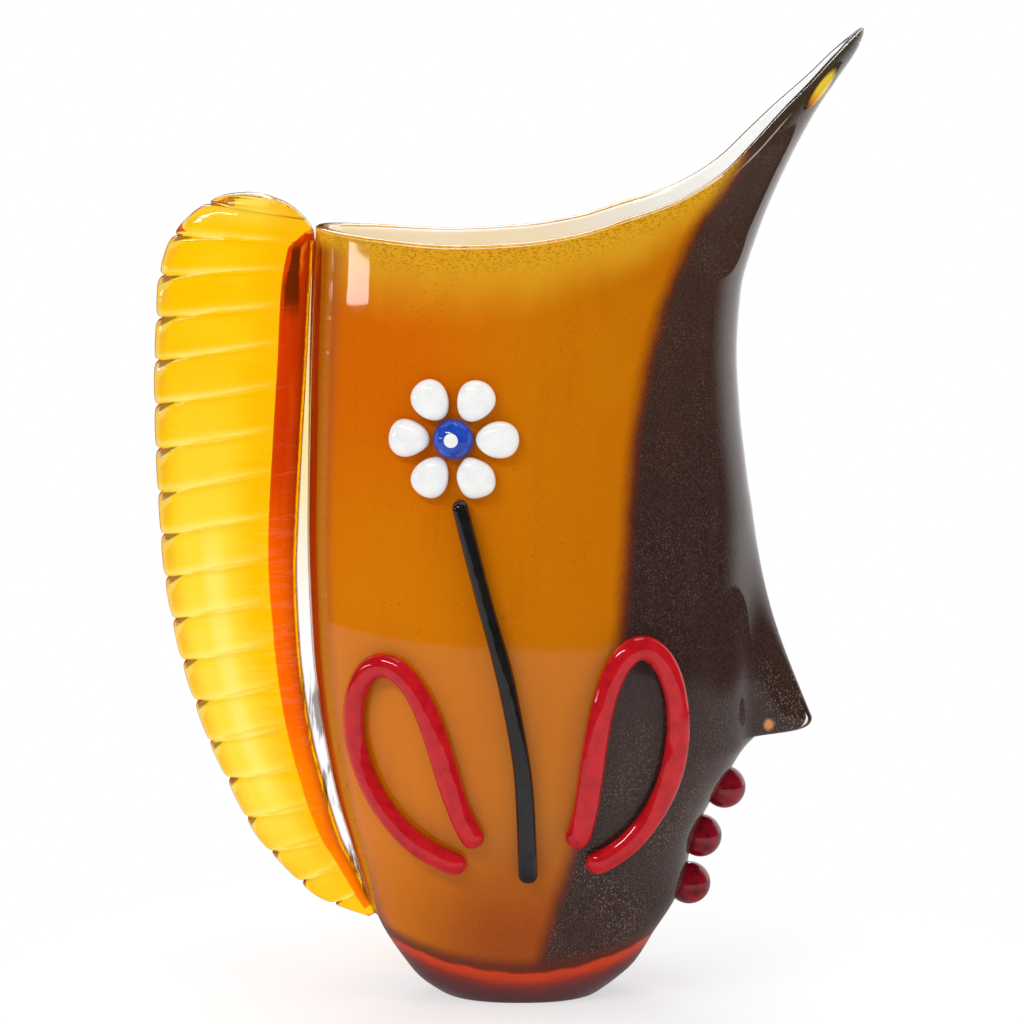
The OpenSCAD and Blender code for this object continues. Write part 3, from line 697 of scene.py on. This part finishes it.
def casing_rings(columns):
    """Rings up the outside from the ground flat, over the lip and down the inner face."""
    level, edge = np.zeros(len(columns)), edge_h(columns)
    rings = [
        wall_point(columns, level + z, inset) for inset, z in [[2, 0], [0.9, 0.15], [0.3, 0.6]]
    ]
    rings += list(wall_point(columns, wall_rows(0, level + 1.5, rim_at(columns, 0)), 0, 0))
    rings += rounded_edge(columns, 0, wall_t, rim_at, lip_round, 13)
    rings.append(wall_point(columns, rim_at(columns, wall_t), wall_t))
    lap = lap_h * lapping(columns)
    rings.append(wall_point(columns, below_lip(columns, wall_t, 0.3 + lap), wall_t - 0.05))
    rings.append(wall_point(columns, below_lip(columns, under_lap, 0.6 + lap), under_lap))
    rows = wall_rows(casing_hidden, edge + 3, below_lip(columns, casing_hidden, 2 + lap))
    rings += list(wall_point(columns, rows[::-1], casing_hidden, casing_hidden))
    rings.append(wall_point(columns, edge - 3, 6))
    rings.append(wall_point(columns, level + 10, 12))
    return blunt(np.array(rings))


blow("clear_layer", "clear_casing", *stack(casing_rings(all_round)), clear_glass(), crease=70)

# ---------------------------------------------------------------------------------------
# Crest: yellow glass crimped with a jack into twenty ribs while it is soft. An orange
# core runs inside its inner edge, and a bead of clear glass welds it to the body.

crest_h = 348
crest_w = 65
crest_t = 22
crest_ribs = 20
rib_notch = 3
crimp_lean = 0.55
crest_gap = 1.2
root_w = 11
seam_w = 6
crest_shares = [
    [0, 0.098, 0.2, 0, 0.04, -0.03],
    [0.075, 0.135, 0.25, 0, 0.32, -0.074],
    [0.129, 0.166, 0.45, 0, 0.466, -0.026],
    [0.177, 0.197, 0.75, 0, 0.566, 0.02],
    [0.239, 0.253, 0.78, 0, 0.64, 0.04],
    [0.301, 0.315, 0.93, 0, 0.7, 0.028],
    [0.36, 0.377, 1, 0, 0.752, 0.012],
    [0.418, 0.439, 1, 0, 0.806, 0],
    [0.477, 0.501, 1, 0, 0.852, 0],
    [0.582, 0.613, 0.75, 0, 0.92, 0],
    [0.675, 0.713, 0.55, 0, 0.972, 0],
    [0.756, 0.8, 0.37, 0, 1, 0.01],
    [0.837, 0.875, 0.3, 0, 0.998, 0.066],
    [0.884, 0.918, 0.22, 0, 0.952, 0.098],
    [0.93, 0.952, 0.2, 0.01, 0.792, 0.128],
    [0.97, 0.9865, 0.2, 0.17, 0.432, 0.066],
    [1, 1.0015, 0.2, 0.36, 0.08, 0.008],
]
crest_t_shares = [
    [0, 0.25], [0.075, 0.7], [0.177, 1], [0.884, 1], [0.93, 0.95], [0.97, 0.75], [1, 0.3],
]
root_shares = [
    [0, 0.1], [0.1, 0.45], [0.239, 0.8], [0.418, 0.85], [0.582, 1], [0.837, 1], [0.9, 0.85],
    [0.92, 0.4], [0.935, 0],
]


def crest_inner(u):
    """Place of the crest's inner edge, in x and z, at a share of the crest's length."""
    z = crest_h * along(crest_shares, u, 1)
    x = crest_side_x(z) - seam_w * along(crest_shares, u, 2) - crest_w * along(crest_shares, u, 3)
    return np.stack([x, z], axis=-1)


def crest_reach(u):
    """The way from there to the crest's outer edge."""
    return crest_w * np.stack([-along(crest_shares, u, 4), along(crest_shares, u, 5)], axis=-1)


def crest_half_t(u):
    return crest_t / 2 * along(crest_t_shares, u)


def soft(x, start, end):
    s = np.clip((x - start) / (end - start), 0, 1)
    return s * s * (3 - 2 * s)


def crest_points(u, share, y):
    """Points at shares of the width, with the crimps leaning up towards the body."""
    lean = crimp_lean * np.clip(np.minimum(u, 0.95 - u) * 9, 0, 1) / crest_ribs
    at = np.clip(u + lean * (1 - share), 0, 1)
    from_edge = crest_inner(at) + crest_reach(at) * share[..., None]
    x = from_edge[..., 0] + crest_gap * (1 - share)
    return xyz(x, y, from_edge[..., 1])


def rounded(x):
    """Height of a quarter round at a share of its width."""
    return 1 - (1 - np.clip(x, 0, 1)) ** 2


def blade_rings():
    """Rings of the blade, with each point's count of ribs and share of the width."""
    phases = np.array([
        0, 0.01, 0.024, 0.04, 0.06, 0.09, 0.14, 0.22, 0.32, 0.42, 0.52, 0.62, 0.72, 0.8, 0.86,
        0.91, 0.94, 0.96, 0.976, 0.99,
    ])
    u = np.append((np.arange(crest_ribs)[:, None] + phases).ravel(), crest_ribs) / crest_ribs
    u = u[:, None]
    angle = all_round_at(72)[None, :]
    apart = np.abs((u * crest_ribs + 0.5) % 1 - 0.5)
    width = np.linalg.norm(crest_reach(u[:, 0]), axis=-1)[:, None]
    seed = np.random.default_rng(7)
    uneven = seed.uniform(0.6, 1.3, crest_ribs + 1)
    uneven[0] = uneven[-1] = 0
    uneven = uneven[np.round(u * crest_ribs).astype(int)]
    cut = np.exp(-apart / 0.035) * 0.75 + np.exp(-((apart / 0.2) ** 2)) * 0.12
    end = 1 - np.minimum(rib_notch * uneven * cut + 0.03, width / 2) / width
    share = (1 - np.cos(angle)) / 2
    thick = 0.66 + 0.34 * soft(share, 0, 0.32)
    thick = thick * np.sqrt(np.clip(rounded(share / 0.025), 0, 1))
    thick = thick * (1 - np.clip((share - 0.3) / 0.7, 0, 1) ** 4) ** (1 / 4)
    thick = thick * (1 - 0.1 * soft(share, 0.5, 1))
    groove = 1 - 0.022 * uneven * np.exp(-((apart / 0.14) ** 2)) * soft(share, 0.05, 0.5)
    groove = groove - 0.2 * uneven * np.exp(-((apart / 0.05) ** 2)) * soft(share, 0.8, 1)
    ends = np.sqrt(np.clip(rounded(np.minimum(u, 1 - u) / 0.012), 0.02, 1))
    y = np.sign(np.sin(angle)) * crest_half_t(u) * thick * groove * ends
    u, share = np.broadcast_to(u, y.shape), share * end
    return crest_points(u, share, y), {"rib": u * crest_ribs, "share": share}


def crest_glass():
    glass = melt("crest_glass")
    place = glass.place()
    rib, share = glass.mark("rib"), glass.mark("share")
    depth, height = glass.parts(place, 1, 2)
    streak = glass.noise(glass.stretched(place, 0.22, 1, 1), 7, 3)
    cloud = glass.noise(place, 25, 2)
    wander = rib + (glass.noise(place, 30, 2) - 0.5) * 0.16
    past = (wander + 0.5) % 1 - 0.5

    # Yellow, paler in its belly and crown, and deeper beside the core, with a painted
    # highlight in a band down the blade. Each crimp has painted light on one side and painted
    # shade on the other.
    belly = glass.band(share, 0.3, 0.6, 0.78, 0.98) * glass.ease(height, 310, 170)
    glow = glass.band(share, 0.5, 0.6, 0.64, 0.74) * glass.ease(height, 215, 180)
    by_core = glass.ease(share, 0.5, 0.2) * (glass.ease(height, 150, 300) * 0.5 + 0.3)
    faint = glass.ease(share, 0.16, 0.5)
    lit = glass.band(past, -0.01, 0.03, 0.04, 0.2) * faint
    shade = glass.band(past, -0.16, -0.03, -0.01, 0.01) * faint
    colour = glass.coats(
        glass.mix(glass.ease(cloud, 0.4, 0.7) * 0.5, srgb(255, 200, 0), srgb(255, 190, 0)),
        (glass.ease(streak, 0.45, 0.75) * 0.45, 255, 218, 40),
        (belly * 0.8 * glass.ease(height, 30, 90), 255, 230, 66),
        (glass.ease(rib, 18.2, 19.2) * 0.75, 255, 224, 78),
        # Painted highlight: a pale band down the blade.
        (glow * glass.ease(height, 70, 110) * 0.45, 255, 246, 132),
        (by_core, 254, 184, 4),
        (lit * 0.5, 255, 250, 140),
        (shade * 0.4, 248, 160, 0),
    )

    # Outer edge: each nick is a dark line of painted shade, with a pale wedge of painted
    # highlight beside it, and the rim is cream. One fold runs across the crown.
    ribbed = glass.ease(rib, 18.7, 18.4)
    at_edge = glass.ease(share, 0.87, 0.95) * glass.ease(abs(past), 0.12, 0.4) * ribbed
    wedge = (share - 0.84) * 1.5
    pale = glass.ease(past + wedge * 2.2, -0.02, 0.04) * glass.ease(past, 0, -0.03)
    pale = pale * glass.ease(share, 0.88, 0.93)
    nick = glass.ease(past + wedge, -0.02, 0.02) * glass.ease(past, 0.01, -0.01)
    nick = nick * glass.ease(share, 0.83, 0.87)
    fold = glass.ease(abs(rib - 19), 0.05, 0.015) * glass.ease(depth, 2, -2)
    colour = glass.coats(
        colour,
        (at_edge * 0.4, 250, 166, 52),
        # Painted highlight on the pale wedge, painted shade in the nick.
        (pale * ribbed * 0.9, 252, 226, 212),
        (nick * ribbed * 0.95, 92, 58, 60),
        (fold * (glass.ease(share, 0.35, 0.1) * 0.5 + 0.4), 112, 84, 34),
        (glass.ease(share, 0.95, 0.98) * 0.85, 246, 226, 208),
    )
    # A faint emission in the blade's colour is a painted glow.
    surface = glass.node("BsdfPrincipled", {}, {
        "Base Color": colour, "Roughness": 0.04, "IOR": 1.45, "Transmission Weight": 1,
        "Emission Color": colour, "Emission Strength": 0.02, "Normal": glass.bump(streak, 0.4),
    })
    return glass.finish(glass.lit_through(surface, srgb(255, 214, 120)))


blade, ribs = blade_rings()
blow("crest_ribs", "crest_blade", *stack(blade), crest_glass(), ribs, crease=80)


def root_width(u):
    reach = np.linalg.norm(crest_reach(u), axis=-1)
    return np.minimum(root_w * along(root_shares, u), reach / 2)


def core_rings():
    """Rings of the core inside the blade, with each point's share of the core's width."""
    low, high, start_gap, overlap = 0.02, 0.93, 0.8, 1.6
    u = np.linspace(low, high, 220)
    angle = all_round_at(32)
    reach = crest_reach(u)
    way = reach / np.linalg.norm(reach, axis=-1)[:, None]
    wide = root_width(u)
    start = start_gap * np.clip(wide / 6, 0, 1)
    share = (1 - np.cos(angle)) / 2
    from_edge = start[:, None] + (wide + overlap - start)[:, None] * share
    place = crest_inner(u)[:, None, :] + way[:, None, :] * from_edge[..., None]
    fat = np.abs(np.sin(angle)) ** 0.6 * np.sign(np.sin(angle))
    y = 0.6 * crest_half_t(u)[:, None] * fat * np.clip((u - low) / 0.03, 0.05, 1)[:, None]
    return xyz(place[..., 0], y, place[..., 1]), {"share": np.broadcast_to(share, y.shape)}


def core_glass():
    glass = melt("core_glass")
    place = glass.place()
    (height,) = glass.parts(place, 2)
    streak = glass.noise(glass.stretched(place, 1, 1, 0.08), 4, 3)
    blot = glass.noise(glass.stretched(place, 1, 1, 0.3), 6, 3)
    wander = glass.mark("share") + (blot - 0.5) * 0.5
    low = glass.mix(glass.ease(height, 96, 130), srgb(252, 158, 18), srgb(250, 124, 8))
    red = glass.mix(glass.ease(height, 165, 240), srgb(242, 124, 34), srgb(190, 56, 2))
    # A dark blot near the top of the core, with painted pink highlights beside it.
    dark = glass.band(height, 292, 306, 324, 330) * glass.ease(wander, 0.2, 0.34)
    pink = glass.band(height, 312, 320, 326, 331) * glass.ease(wander, 0.14, 0.22)
    colour = glass.coats(
        glass.mix(glass.ease(height + (blot - 0.5) * 24, 128, 152), low, red),
        (glass.ease(streak, 0.4, 0.75) * 0.3, 236, 110, 10),
        (dark * glass.ease(wander, 0.86, 0.72) * 0.95, 84, 10, 8),
        (pink * glass.ease(wander, 0.34, 0.26) * 0.8, 238, 150, 146),
    )
    # The emission is a painted glow, standing for light through the blade behind.
    return glass.finish(glass.node("BsdfPrincipled", {}, {
        "Base Color": colour, "Roughness": 0.3, "Specular IOR Level": 0.1,
        "Emission Color": colour, "Emission Strength": 0.26,
    }))


core, across_core = core_rings()
blow("crest_core", "crest_root", *stack(core), core_glass(), across_core)


def weld_rings():
    """Rings of the weld, from the body's edge to the crest, up to just under the lip."""
    half_w, sunk, top_share = 9, 0.15, 0.985
    u = np.linspace(0, 1, 400)
    at = crest_inner(u)
    kept = at[:, 1] < top_share * rim_at(np.array([2.0]), 0)[0]
    u, at = u[kept], at[kept]
    z = at[:, 1][:, None]
    half_t = (0.62 * crest_half_t(u))[:, None]
    y = np.linspace(half_w, -half_w, 15)[None, :]
    on_body = mid_x(z) - half_width(z) * oval(y / half_depth(z)) - sunk
    s = np.linspace(0, 1, 9)[1:][None, :]
    side_y = half_t + (half_w - half_t) * (1 - s) ** 2.2
    side_x = on_body[:, -1:] + (at[:, :1] - 0.6 - on_body[:, -1:]) * s
    x = np.concatenate([on_body, side_x, side_x[:, ::-1]], axis=1)
    y = np.concatenate([np.repeat(y, len(u), axis=0), -side_y, side_y[:, ::-1]], axis=1)
    return xyz(x, y, z)


def weld_glass():
    """Clear, with dark streaks low down and yellow higher up."""
    glass = melt("weld_glass")
    place = glass.place()
    (height,) = glass.parts(place, 2)
    streak = glass.noise(glass.stretched(place, 1, 1, 0.07), 3.2, 3)
    streaked_low = glass.ease(height, 145, 132) * (1 - glass.band(height, 62, 68, 74, 84))
    colour = glass.coats(
        glass.mix(glass.ease(streak, 0.52, 0.6) * streaked_low, clear, srgb(96, 86, 84)),
        (glass.ease(height, 150, 250) * 0.8, 255, 226, 120),
    )
    surface = glass.node("BsdfPrincipled", {}, {
        "Base Color": colour, "Roughness": 0.05, "IOR": 1.12, "Transmission Weight": 1,
    })
    return glass.finish(glass.lit_through(surface, clear))


blow("crest_weld", "crest_seam", *stack(weld_rings()), weld_glass())

# ---------------------------------------------------------------------------------------
# Stem and leaves: threads of opaque glass, trailed on hot and marvered lightly, so that
# each stands about six millimetres proud with a round back and melted ends.

stem_w, stem_tip_w, stem_trail_h = 9, 7, 6
leaf_trail_w, leaf_trail_h, leaf_w = 11, 6.5, 34
centre_d, centre_h, pip_d = 17, 6, 6
petals, petal_l, petal_w, petal_h, petal_gap = 6, 18, 15.5, 5, 0.8
flower_x, flower_z = -0.147 * body_w, 0.595 * vase_h
skin_step = 0.95
knot_apart = 16
trail_points = 28
trail_sunk = 0.5


def skin(side, x, z):
    """Point of the outside on a broad side."""
    deep = half_depth(z) * oval((x - mid_x(z)) / half_width(z))
    return xyz(x, side * deep, z)


def unit(v):
    return v / np.linalg.norm(v, axis=-1, keepdims=True)


def skin_normal(side, x, z):
    up = skin(side, x, z + skin_step) - skin(side, x, z - skin_step)
    over = skin(side, x + skin_step, z) - skin(side, x - skin_step, z)
    return side * unit(np.cross(up, over))


def trail_rings(side, path, widths, tall, seed):
    """Rings of a thread along a path in x and z, thinner at its melted ends."""
    steps = np.linalg.norm(np.diff(path, axis=0), axis=1)
    way = np.concatenate([[0], np.cumsum(steps)])
    rest = np.minimum(way, way[-1] - way) / (widths / 2)
    full = np.sqrt(np.clip(rounded(rest), 0.01, 1))
    rng = np.random.default_rng(seed)
    knots = np.linspace(0, way[-1], max(int(way[-1] / knot_apart), 4))
    uneven = 1 + np.interp(way, knots, rng.uniform(-0.1, -0.03, len(knots)))
    for _ in range(6):
        uneven[1:-1] = (uneven[:-2] + uneven[1:-1] + uneven[2:]) / 3
    here = skin(side, path[:, 0], path[:, 1])
    out = skin_normal(side, path[:, 0], path[:, 1])
    ahead = np.gradient(here, axis=0)
    across = unit(np.cross(out, ahead))
    angle = 2 * math.pi * (np.arange(trail_points) + 0.5) / trail_points
    wide = (widths / 2 * full * uneven)[:, None] * np.cos(angle)
    lift = (tall * full * uneven)[:, None] * (0.35 + 0.65 * np.sin(angle))
    lift = np.maximum(lift, -trail_sunk)
    return here[:, None] + across[:, None] * wide[..., None] + out[:, None] * lift[..., None]


def opaque_glass(name, colour, shade):
    glass = melt(name)
    place = glass.place()
    swirl = glass.noise(place, 6, 3)
    tone = glass.mix(glass.ease(swirl, 0.35, 0.7) * 0.7, colour, shade)
    ripple = glass.noise(place, 9, 1)
    return glass.finish(glass.node("BsdfPrincipled", {}, {
        "Base Color": tone, "Roughness": 0.06, "IOR": 1.52, "Coat Weight": 0.3,
        "Coat Roughness": 0.02, "Normal": glass.bump(ripple, 0.35),
    }))


black = opaque_glass("black_glass", srgb(20, 18, 18), srgb(34, 30, 30))
red = opaque_glass("red_glass", srgb(200, 22, 32), srgb(168, 12, 24))
white = opaque_glass("white_glass", srgb(252, 252, 250), srgb(240, 240, 240))
blue = opaque_glass("blue_glass", srgb(38, 78, 190), srgb(24, 52, 150))

stem_foot = np.array([0.018 * body_w, 0.143 * vase_h])
stem_shift = 0.33 * stem_tip_w
flower_r = centre_d / 2 + petal_gap + petal_l
stem_top = np.array([flower_x + stem_shift, flower_z - flower_r + stem_shift])
stem_shares = [[0, 0, 0], [0.25, 0.06, 0.25], [0.5, 0.28, 0.5], [0.75, 0.66, 0.76], [1, 1, 1]]
leaf_shares = {
    "left": [[-0.035, 0.158], [-0.27, 0.19], [-0.3, 0.365]],
    "right": [[0.068, 0.158], [0.28, 0.185], [0.262, 0.385]],
}


def stem_path():
    s = np.linspace(0, 1, 140)
    way = np.stack([along(stem_shares, s, 1), along(stem_shares, s, 2)], axis=-1)
    return stem_foot + way * (stem_top - stem_foot)


def leaf_path(leaf):
    """Loop about a curved vein that runs from the leaf's foot by its bend to its tip."""
    foot, bend, tip = np.array(leaf_shares[leaf]) * [body_w, vase_h]
    s = np.linspace(0.05, 0.95, 260)

    def vein(t):
        t = t[:, None]
        return (1 - t) ** 2 * foot + 2 * t * (1 - t) * bend + t**2 * tip

    way = np.sin(math.pi * s)
    ahead = unit(vein(way + 0.01) - vein(way - 0.01))
    aside = np.stack([-ahead[:, 1], ahead[:, 0]], axis=-1)
    return vein(way) + aside * (leaf_w / 2 * np.sin(2 * math.pi * s))[:, None]


for side_name, side in (("front", -1), ("back", 1)):
    path = stem_path()
    widths = np.linspace(stem_w, stem_tip_w, len(path))
    rings = trail_rings(side, path, widths, stem_trail_h, 11)
    blow("stem_trail_" + side_name, "stem_" + side_name, *stack(rings), black)
    for leaf, seed in (("left", 12), ("right", 13)):
        path = leaf_path(leaf)
        widths = np.full(len(path), float(leaf_trail_w))
        rings = trail_rings(side, path, widths, leaf_trail_h, seed)
        name = "%s_%s" % (leaf, side_name)
        blow("leaf_trail_" + name, "leaf_" + name, *stack(rings), red)

# ---------------------------------------------------------------------------------------
# Flower: six pats of white glass pressed round a cobalt drop, which carries a pip of the
# same white. Each pat is dropped on hot and flattens into a pebble with a crowned top.


def on_skin(side, x, z, ahead_x, ahead_z):
    """Origin and three directions of a place on a broad side."""
    out = skin_normal(side, np.float64(x), np.float64(z))
    here = skin(side, np.float64(x), np.float64(z))
    ahead = skin(side, x + skin_step * ahead_x, z + skin_step * ahead_z) - here
    first = unit(ahead - out * np.dot(ahead, out))
    return here, first, np.cross(out, first), out


def set_on(spot, local):
    here, first, second, out = spot
    return here + local[..., :1] * first + local[..., 1:2] * second + local[..., 2:] * out


pat_sunk, pat_power, petal_egg = 0.24, 2.4, 0.2


def pat_rings(length, width, tall, seed):
    """Rings of a pebble: a foot that sinks in, a round flank and a low crown."""
    b = all_round_at(72)
    rng = np.random.default_rng(seed)
    waves = 1 + sum(
        rng.uniform(-0.02, 0.02) * np.cos(n * b + rng.uniform(0, 6)) for n in (2, 3, 5)
    )
    rings = []
    for t in np.concatenate([[-pat_sunk, -pat_sunk / 2], np.linspace(0, 1, 16)]):
        if t < 0:
            size, lift = 1 - 0.1 * (abs(t) / pat_sunk), tall * t
        else:
            size = (1 - t**pat_power) ** (1 / pat_power) * 0.97 + 0.03 * (1 - t)
            lift = tall * t**0.9
        x = size * waves * length / 2 * np.cos(b)
        y = size * waves * width / 2 * np.sin(b) * (1 + petal_egg * np.cos(b))
        rings.append(xyz(x, y, lift))
    return np.array(rings)


def turned(profile, count=96):
    """Rings of a round drop from its profile of radii and heights."""
    angle = all_round_at(count)
    return np.array([xyz(r * np.cos(angle), r * np.sin(angle), h) for r, h in profile])


centre_ball_r = ((centre_d / 2) ** 2 + centre_h**2) / (2 * centre_h)
pip_seat_h = centre_h - centre_ball_r + math.sqrt(centre_ball_r**2 - (pip_d / 2) ** 2)
drop = [[centre_d / 2 - 0.9, -0.8], [centre_d / 2 - 0.2, -0.3], [centre_d / 2, 0.3]]
for h in [0.9, 1, *np.linspace(1.4, centre_h - 0.02, 22)]:
    drop.append([math.sqrt(max(centre_ball_r**2 - (h - centre_h + centre_ball_r) ** 2, 0.04)), h])
pip = [[pip_d / 2 - 0.4, -0.3]] + [
    [pip_d / 2 * math.cos(a), 1.3 * math.sin(a)] for a in np.linspace(0, math.pi / 2 - 0.02, 14)
]

for side_name, side in (("front", -1), ("back", 1)):
    spot = on_skin(side, flower_x, flower_z, 1, 0)
    rings = set_on(spot, turned(drop))
    blow("blue_drop_" + side_name, "flower_centre_" + side_name, *stack(rings), blue)
    raised = (spot[0] + spot[3] * pip_seat_h, *spot[1:])
    rings = set_on(raised, turned(pip, 48))
    blow("white_pip_" + side_name, "flower_pip_" + side_name, *stack(rings), white)
    for i in range(petals):
        turn = 2 * math.pi * i / petals
        way_x, way_z = math.cos(turn), math.sin(turn)
        r = centre_d / 2 + petal_gap + petal_l / 2
        spot = on_skin(side, flower_x + r * way_x, flower_z + r * way_z, way_x, way_z)
        rings = set_on(spot, pat_rings(petal_l, petal_w, petal_h, 20 + i))
        name = "%s_%d" % (side_name, i + 1)
        blow("petal_pat_" + name, "petal_" + name, *stack(rings), white)

# ---------------------------------------------------------------------------------------
# Beads: three gobs of ruby glass dabbed on the edge below the spur. They are dense and
# dark red, and pull themselves round and smooth while they are hot.

bead_shares = [0.79, 0.6, 0.415]
bead_d, bead_reach = 19, 13


def bead_rings(x, z, seed):
    rng = np.random.default_rng(seed)
    squash = rng.uniform(0.96, 1.0, 3)
    polar = np.linspace(0.02, math.pi - 0.02, 40)
    deep, up = np.cos(all_round_at(64)), np.sin(all_round_at(64))
    rx, ry, rz = squash * (bead_d / 2)
    return np.array([
        xyz(x + rx * math.cos(p), ry * math.sin(p) * deep, z + rz * math.sin(p) * up)
        for p in polar
    ])


def ruby_glass():
    glass = melt("ruby_glass")
    swirl = glass.noise(glass.place(), 5, 2)
    colour = glass.mix(glass.ease(swirl, 0.4, 0.7), srgb(140, 12, 30), srgb(98, 6, 20))
    return glass.finish(glass.node("BsdfPrincipled", {}, {
        "Base Color": colour, "Roughness": 0.04, "IOR": 1.52, "Coat Weight": 0.5,
        "Coat Roughness": 0.02,
    }))


ruby = ruby_glass()
for bead, share in zip(("upper", "middle", "lower"), bead_shares):
    z = share * spur_h
    x = spout_side_x(z) + bead_reach - bead_d / 2
    blow("ruby_gob_" + bead, "bead_" + bead, *stack(bead_rings(x, z, int(z))), ruby)

# ---------------------------------------------------------------------------------------
# Studio: a white table in a white room. Soft boxes stand round the vase and above it,
# the glass mirrors a white wall behind it to the right, and the camera looks down a
# little, as in the photograph.

table_r, table_drop = 1.15, 0.0003
white_light = (1, 1, 1, 1)


def floor_white():
    """Table that takes light and shadow near the vase and is plain white further out.
    Glass mirrors it dimly, and hardly at its far edge or to the right behind the vase."""
    floor = melt("table_white")
    place = floor.node("TexCoord", out="Object")
    far = floor.node("VectorMath", {"operation": "LENGTH"}, {0: place}, "Value")
    across, depth = floor.parts(place, 0, 1)
    matt = floor.node("BsdfDiffuse", {}, {"Color": (0.5, 0.5, 0.5, 1)})
    glow = floor.node("Emission", {}, {"Strength": 0.54})
    lit = floor.node("AddShader", {}, {0: matt, 1: glow})
    plain = floor.node("Emission", {}, {"Strength": 1})
    outer = floor.ease(far, 0.13, 0.25) | floor.ray("Transmission")
    bare = floor.node("MixShader", {}, {0: outer, 1: lit, 2: plain})
    end = 0.97 - floor.ease(across, 0.4, 0.8) * 0.32
    table = floor.ease(far - across * 0.124, 0.985, end)
    table = table * (1 - floor.ease(across, 0.7, 1) * floor.ease(depth, -0.35, 0.1))
    near = floor.ease(far, 0.1, 0.22) * 0.3 + 0.2
    tone = floor.mix(near * table, (0.03, 0.03, 0.03, 1), white_light)
    sheen = floor.node("Emission", {}, {"Color": tone, "Strength": 1})
    mirrored = floor.ray("Glossy") * (1 - floor.ray("Transmission"))
    return floor.finish(floor.node("MixShader", {}, {0: mirrored, 1: bare, 2: sheen}))


disc = bpy.data.meshes.new("table")
rim = [(table_r * math.cos(a), table_r * math.sin(a), -table_drop) for a in all_round_at(96)]
disc.from_pydata(rim, [], [list(range(len(rim)))])
disc.materials.append(floor_white())
table = bpy.data.objects.new("table", disc)
bpy.context.collection.objects.link(table)

room = bpy.data.worlds.new("white_room")
bpy.context.scene.world = room
air = Melt(room)
toward_x, toward_y = air.parts(air.node("TexCoord", out="Generated"), 0, 1)
wall = air.ease(toward_x, -0.05, 0.1) * air.ease(toward_y, 0.1, 0.6)
level = air.ray("Camera") | air.ray("Transmission")
level = level | air.ray("Glossy") * (wall * 0.97 + 0.03) | air.ray("Diffuse") * 0.55
light = air.node("Background", {}, {"Color": white_light, "Strength": level})
air.node("OutputWorld", {}, {0: light})


def soft_box(name, place, aim, wide, tall, power, shown=True):
    lamp = bpy.data.lights.new(name, "AREA")
    lamp.shape = "RECTANGLE"
    lamp.size, lamp.size_y = wide, tall
    lamp.energy = power
    box = bpy.data.objects.new(name, lamp)
    box.location = place
    box.rotation_euler = (Vector(aim) - Vector(place)).to_track_quat("-Z", "Y").to_euler()
    box.visible_camera = False
    box.visible_glossy = shown
    box.visible_transmission = False
    bpy.context.collection.objects.link(box)


middle = (0, 0, 0.2)
soft_box("front_box", (-0.9, -1.3, 1.3), middle, 1.1, 0.13, 10)
soft_box("right_box", (1.3, -0.8, 0.9), middle, 0.7, 0.7, 5, False)
soft_box("top_box", (0.1, 0.1, 1.6), middle, 0.9, 0.6, 5)
soft_box("back_box", (-0.2, 1.5, 1.2), middle, 0.9, 0.7, 8)
soft_box("left_box", (-1.3, -0.3, 0.295), (0, 0, 0.3), 0.48, 0.07, 0.95)

lens = bpy.data.cameras.new("camera")
lens.lens = 134.3
lens.sensor_width = 36
camera = bpy.data.objects.new("camera", lens)
aim = Vector((-0.0035, 0, 0.211))
distance, elevation = 1.65, math.radians(8)
camera.location = aim + Vector((0, -distance * math.cos(elevation), distance * math.sin(elevation)))
camera.rotation_euler = (math.pi / 2 - elevation, 0, 0)
bpy.context.collection.objects.link(camera)
bpy.context.scene.camera = camera
bpy.context.scene.view_settings.view_transform = "Standard"
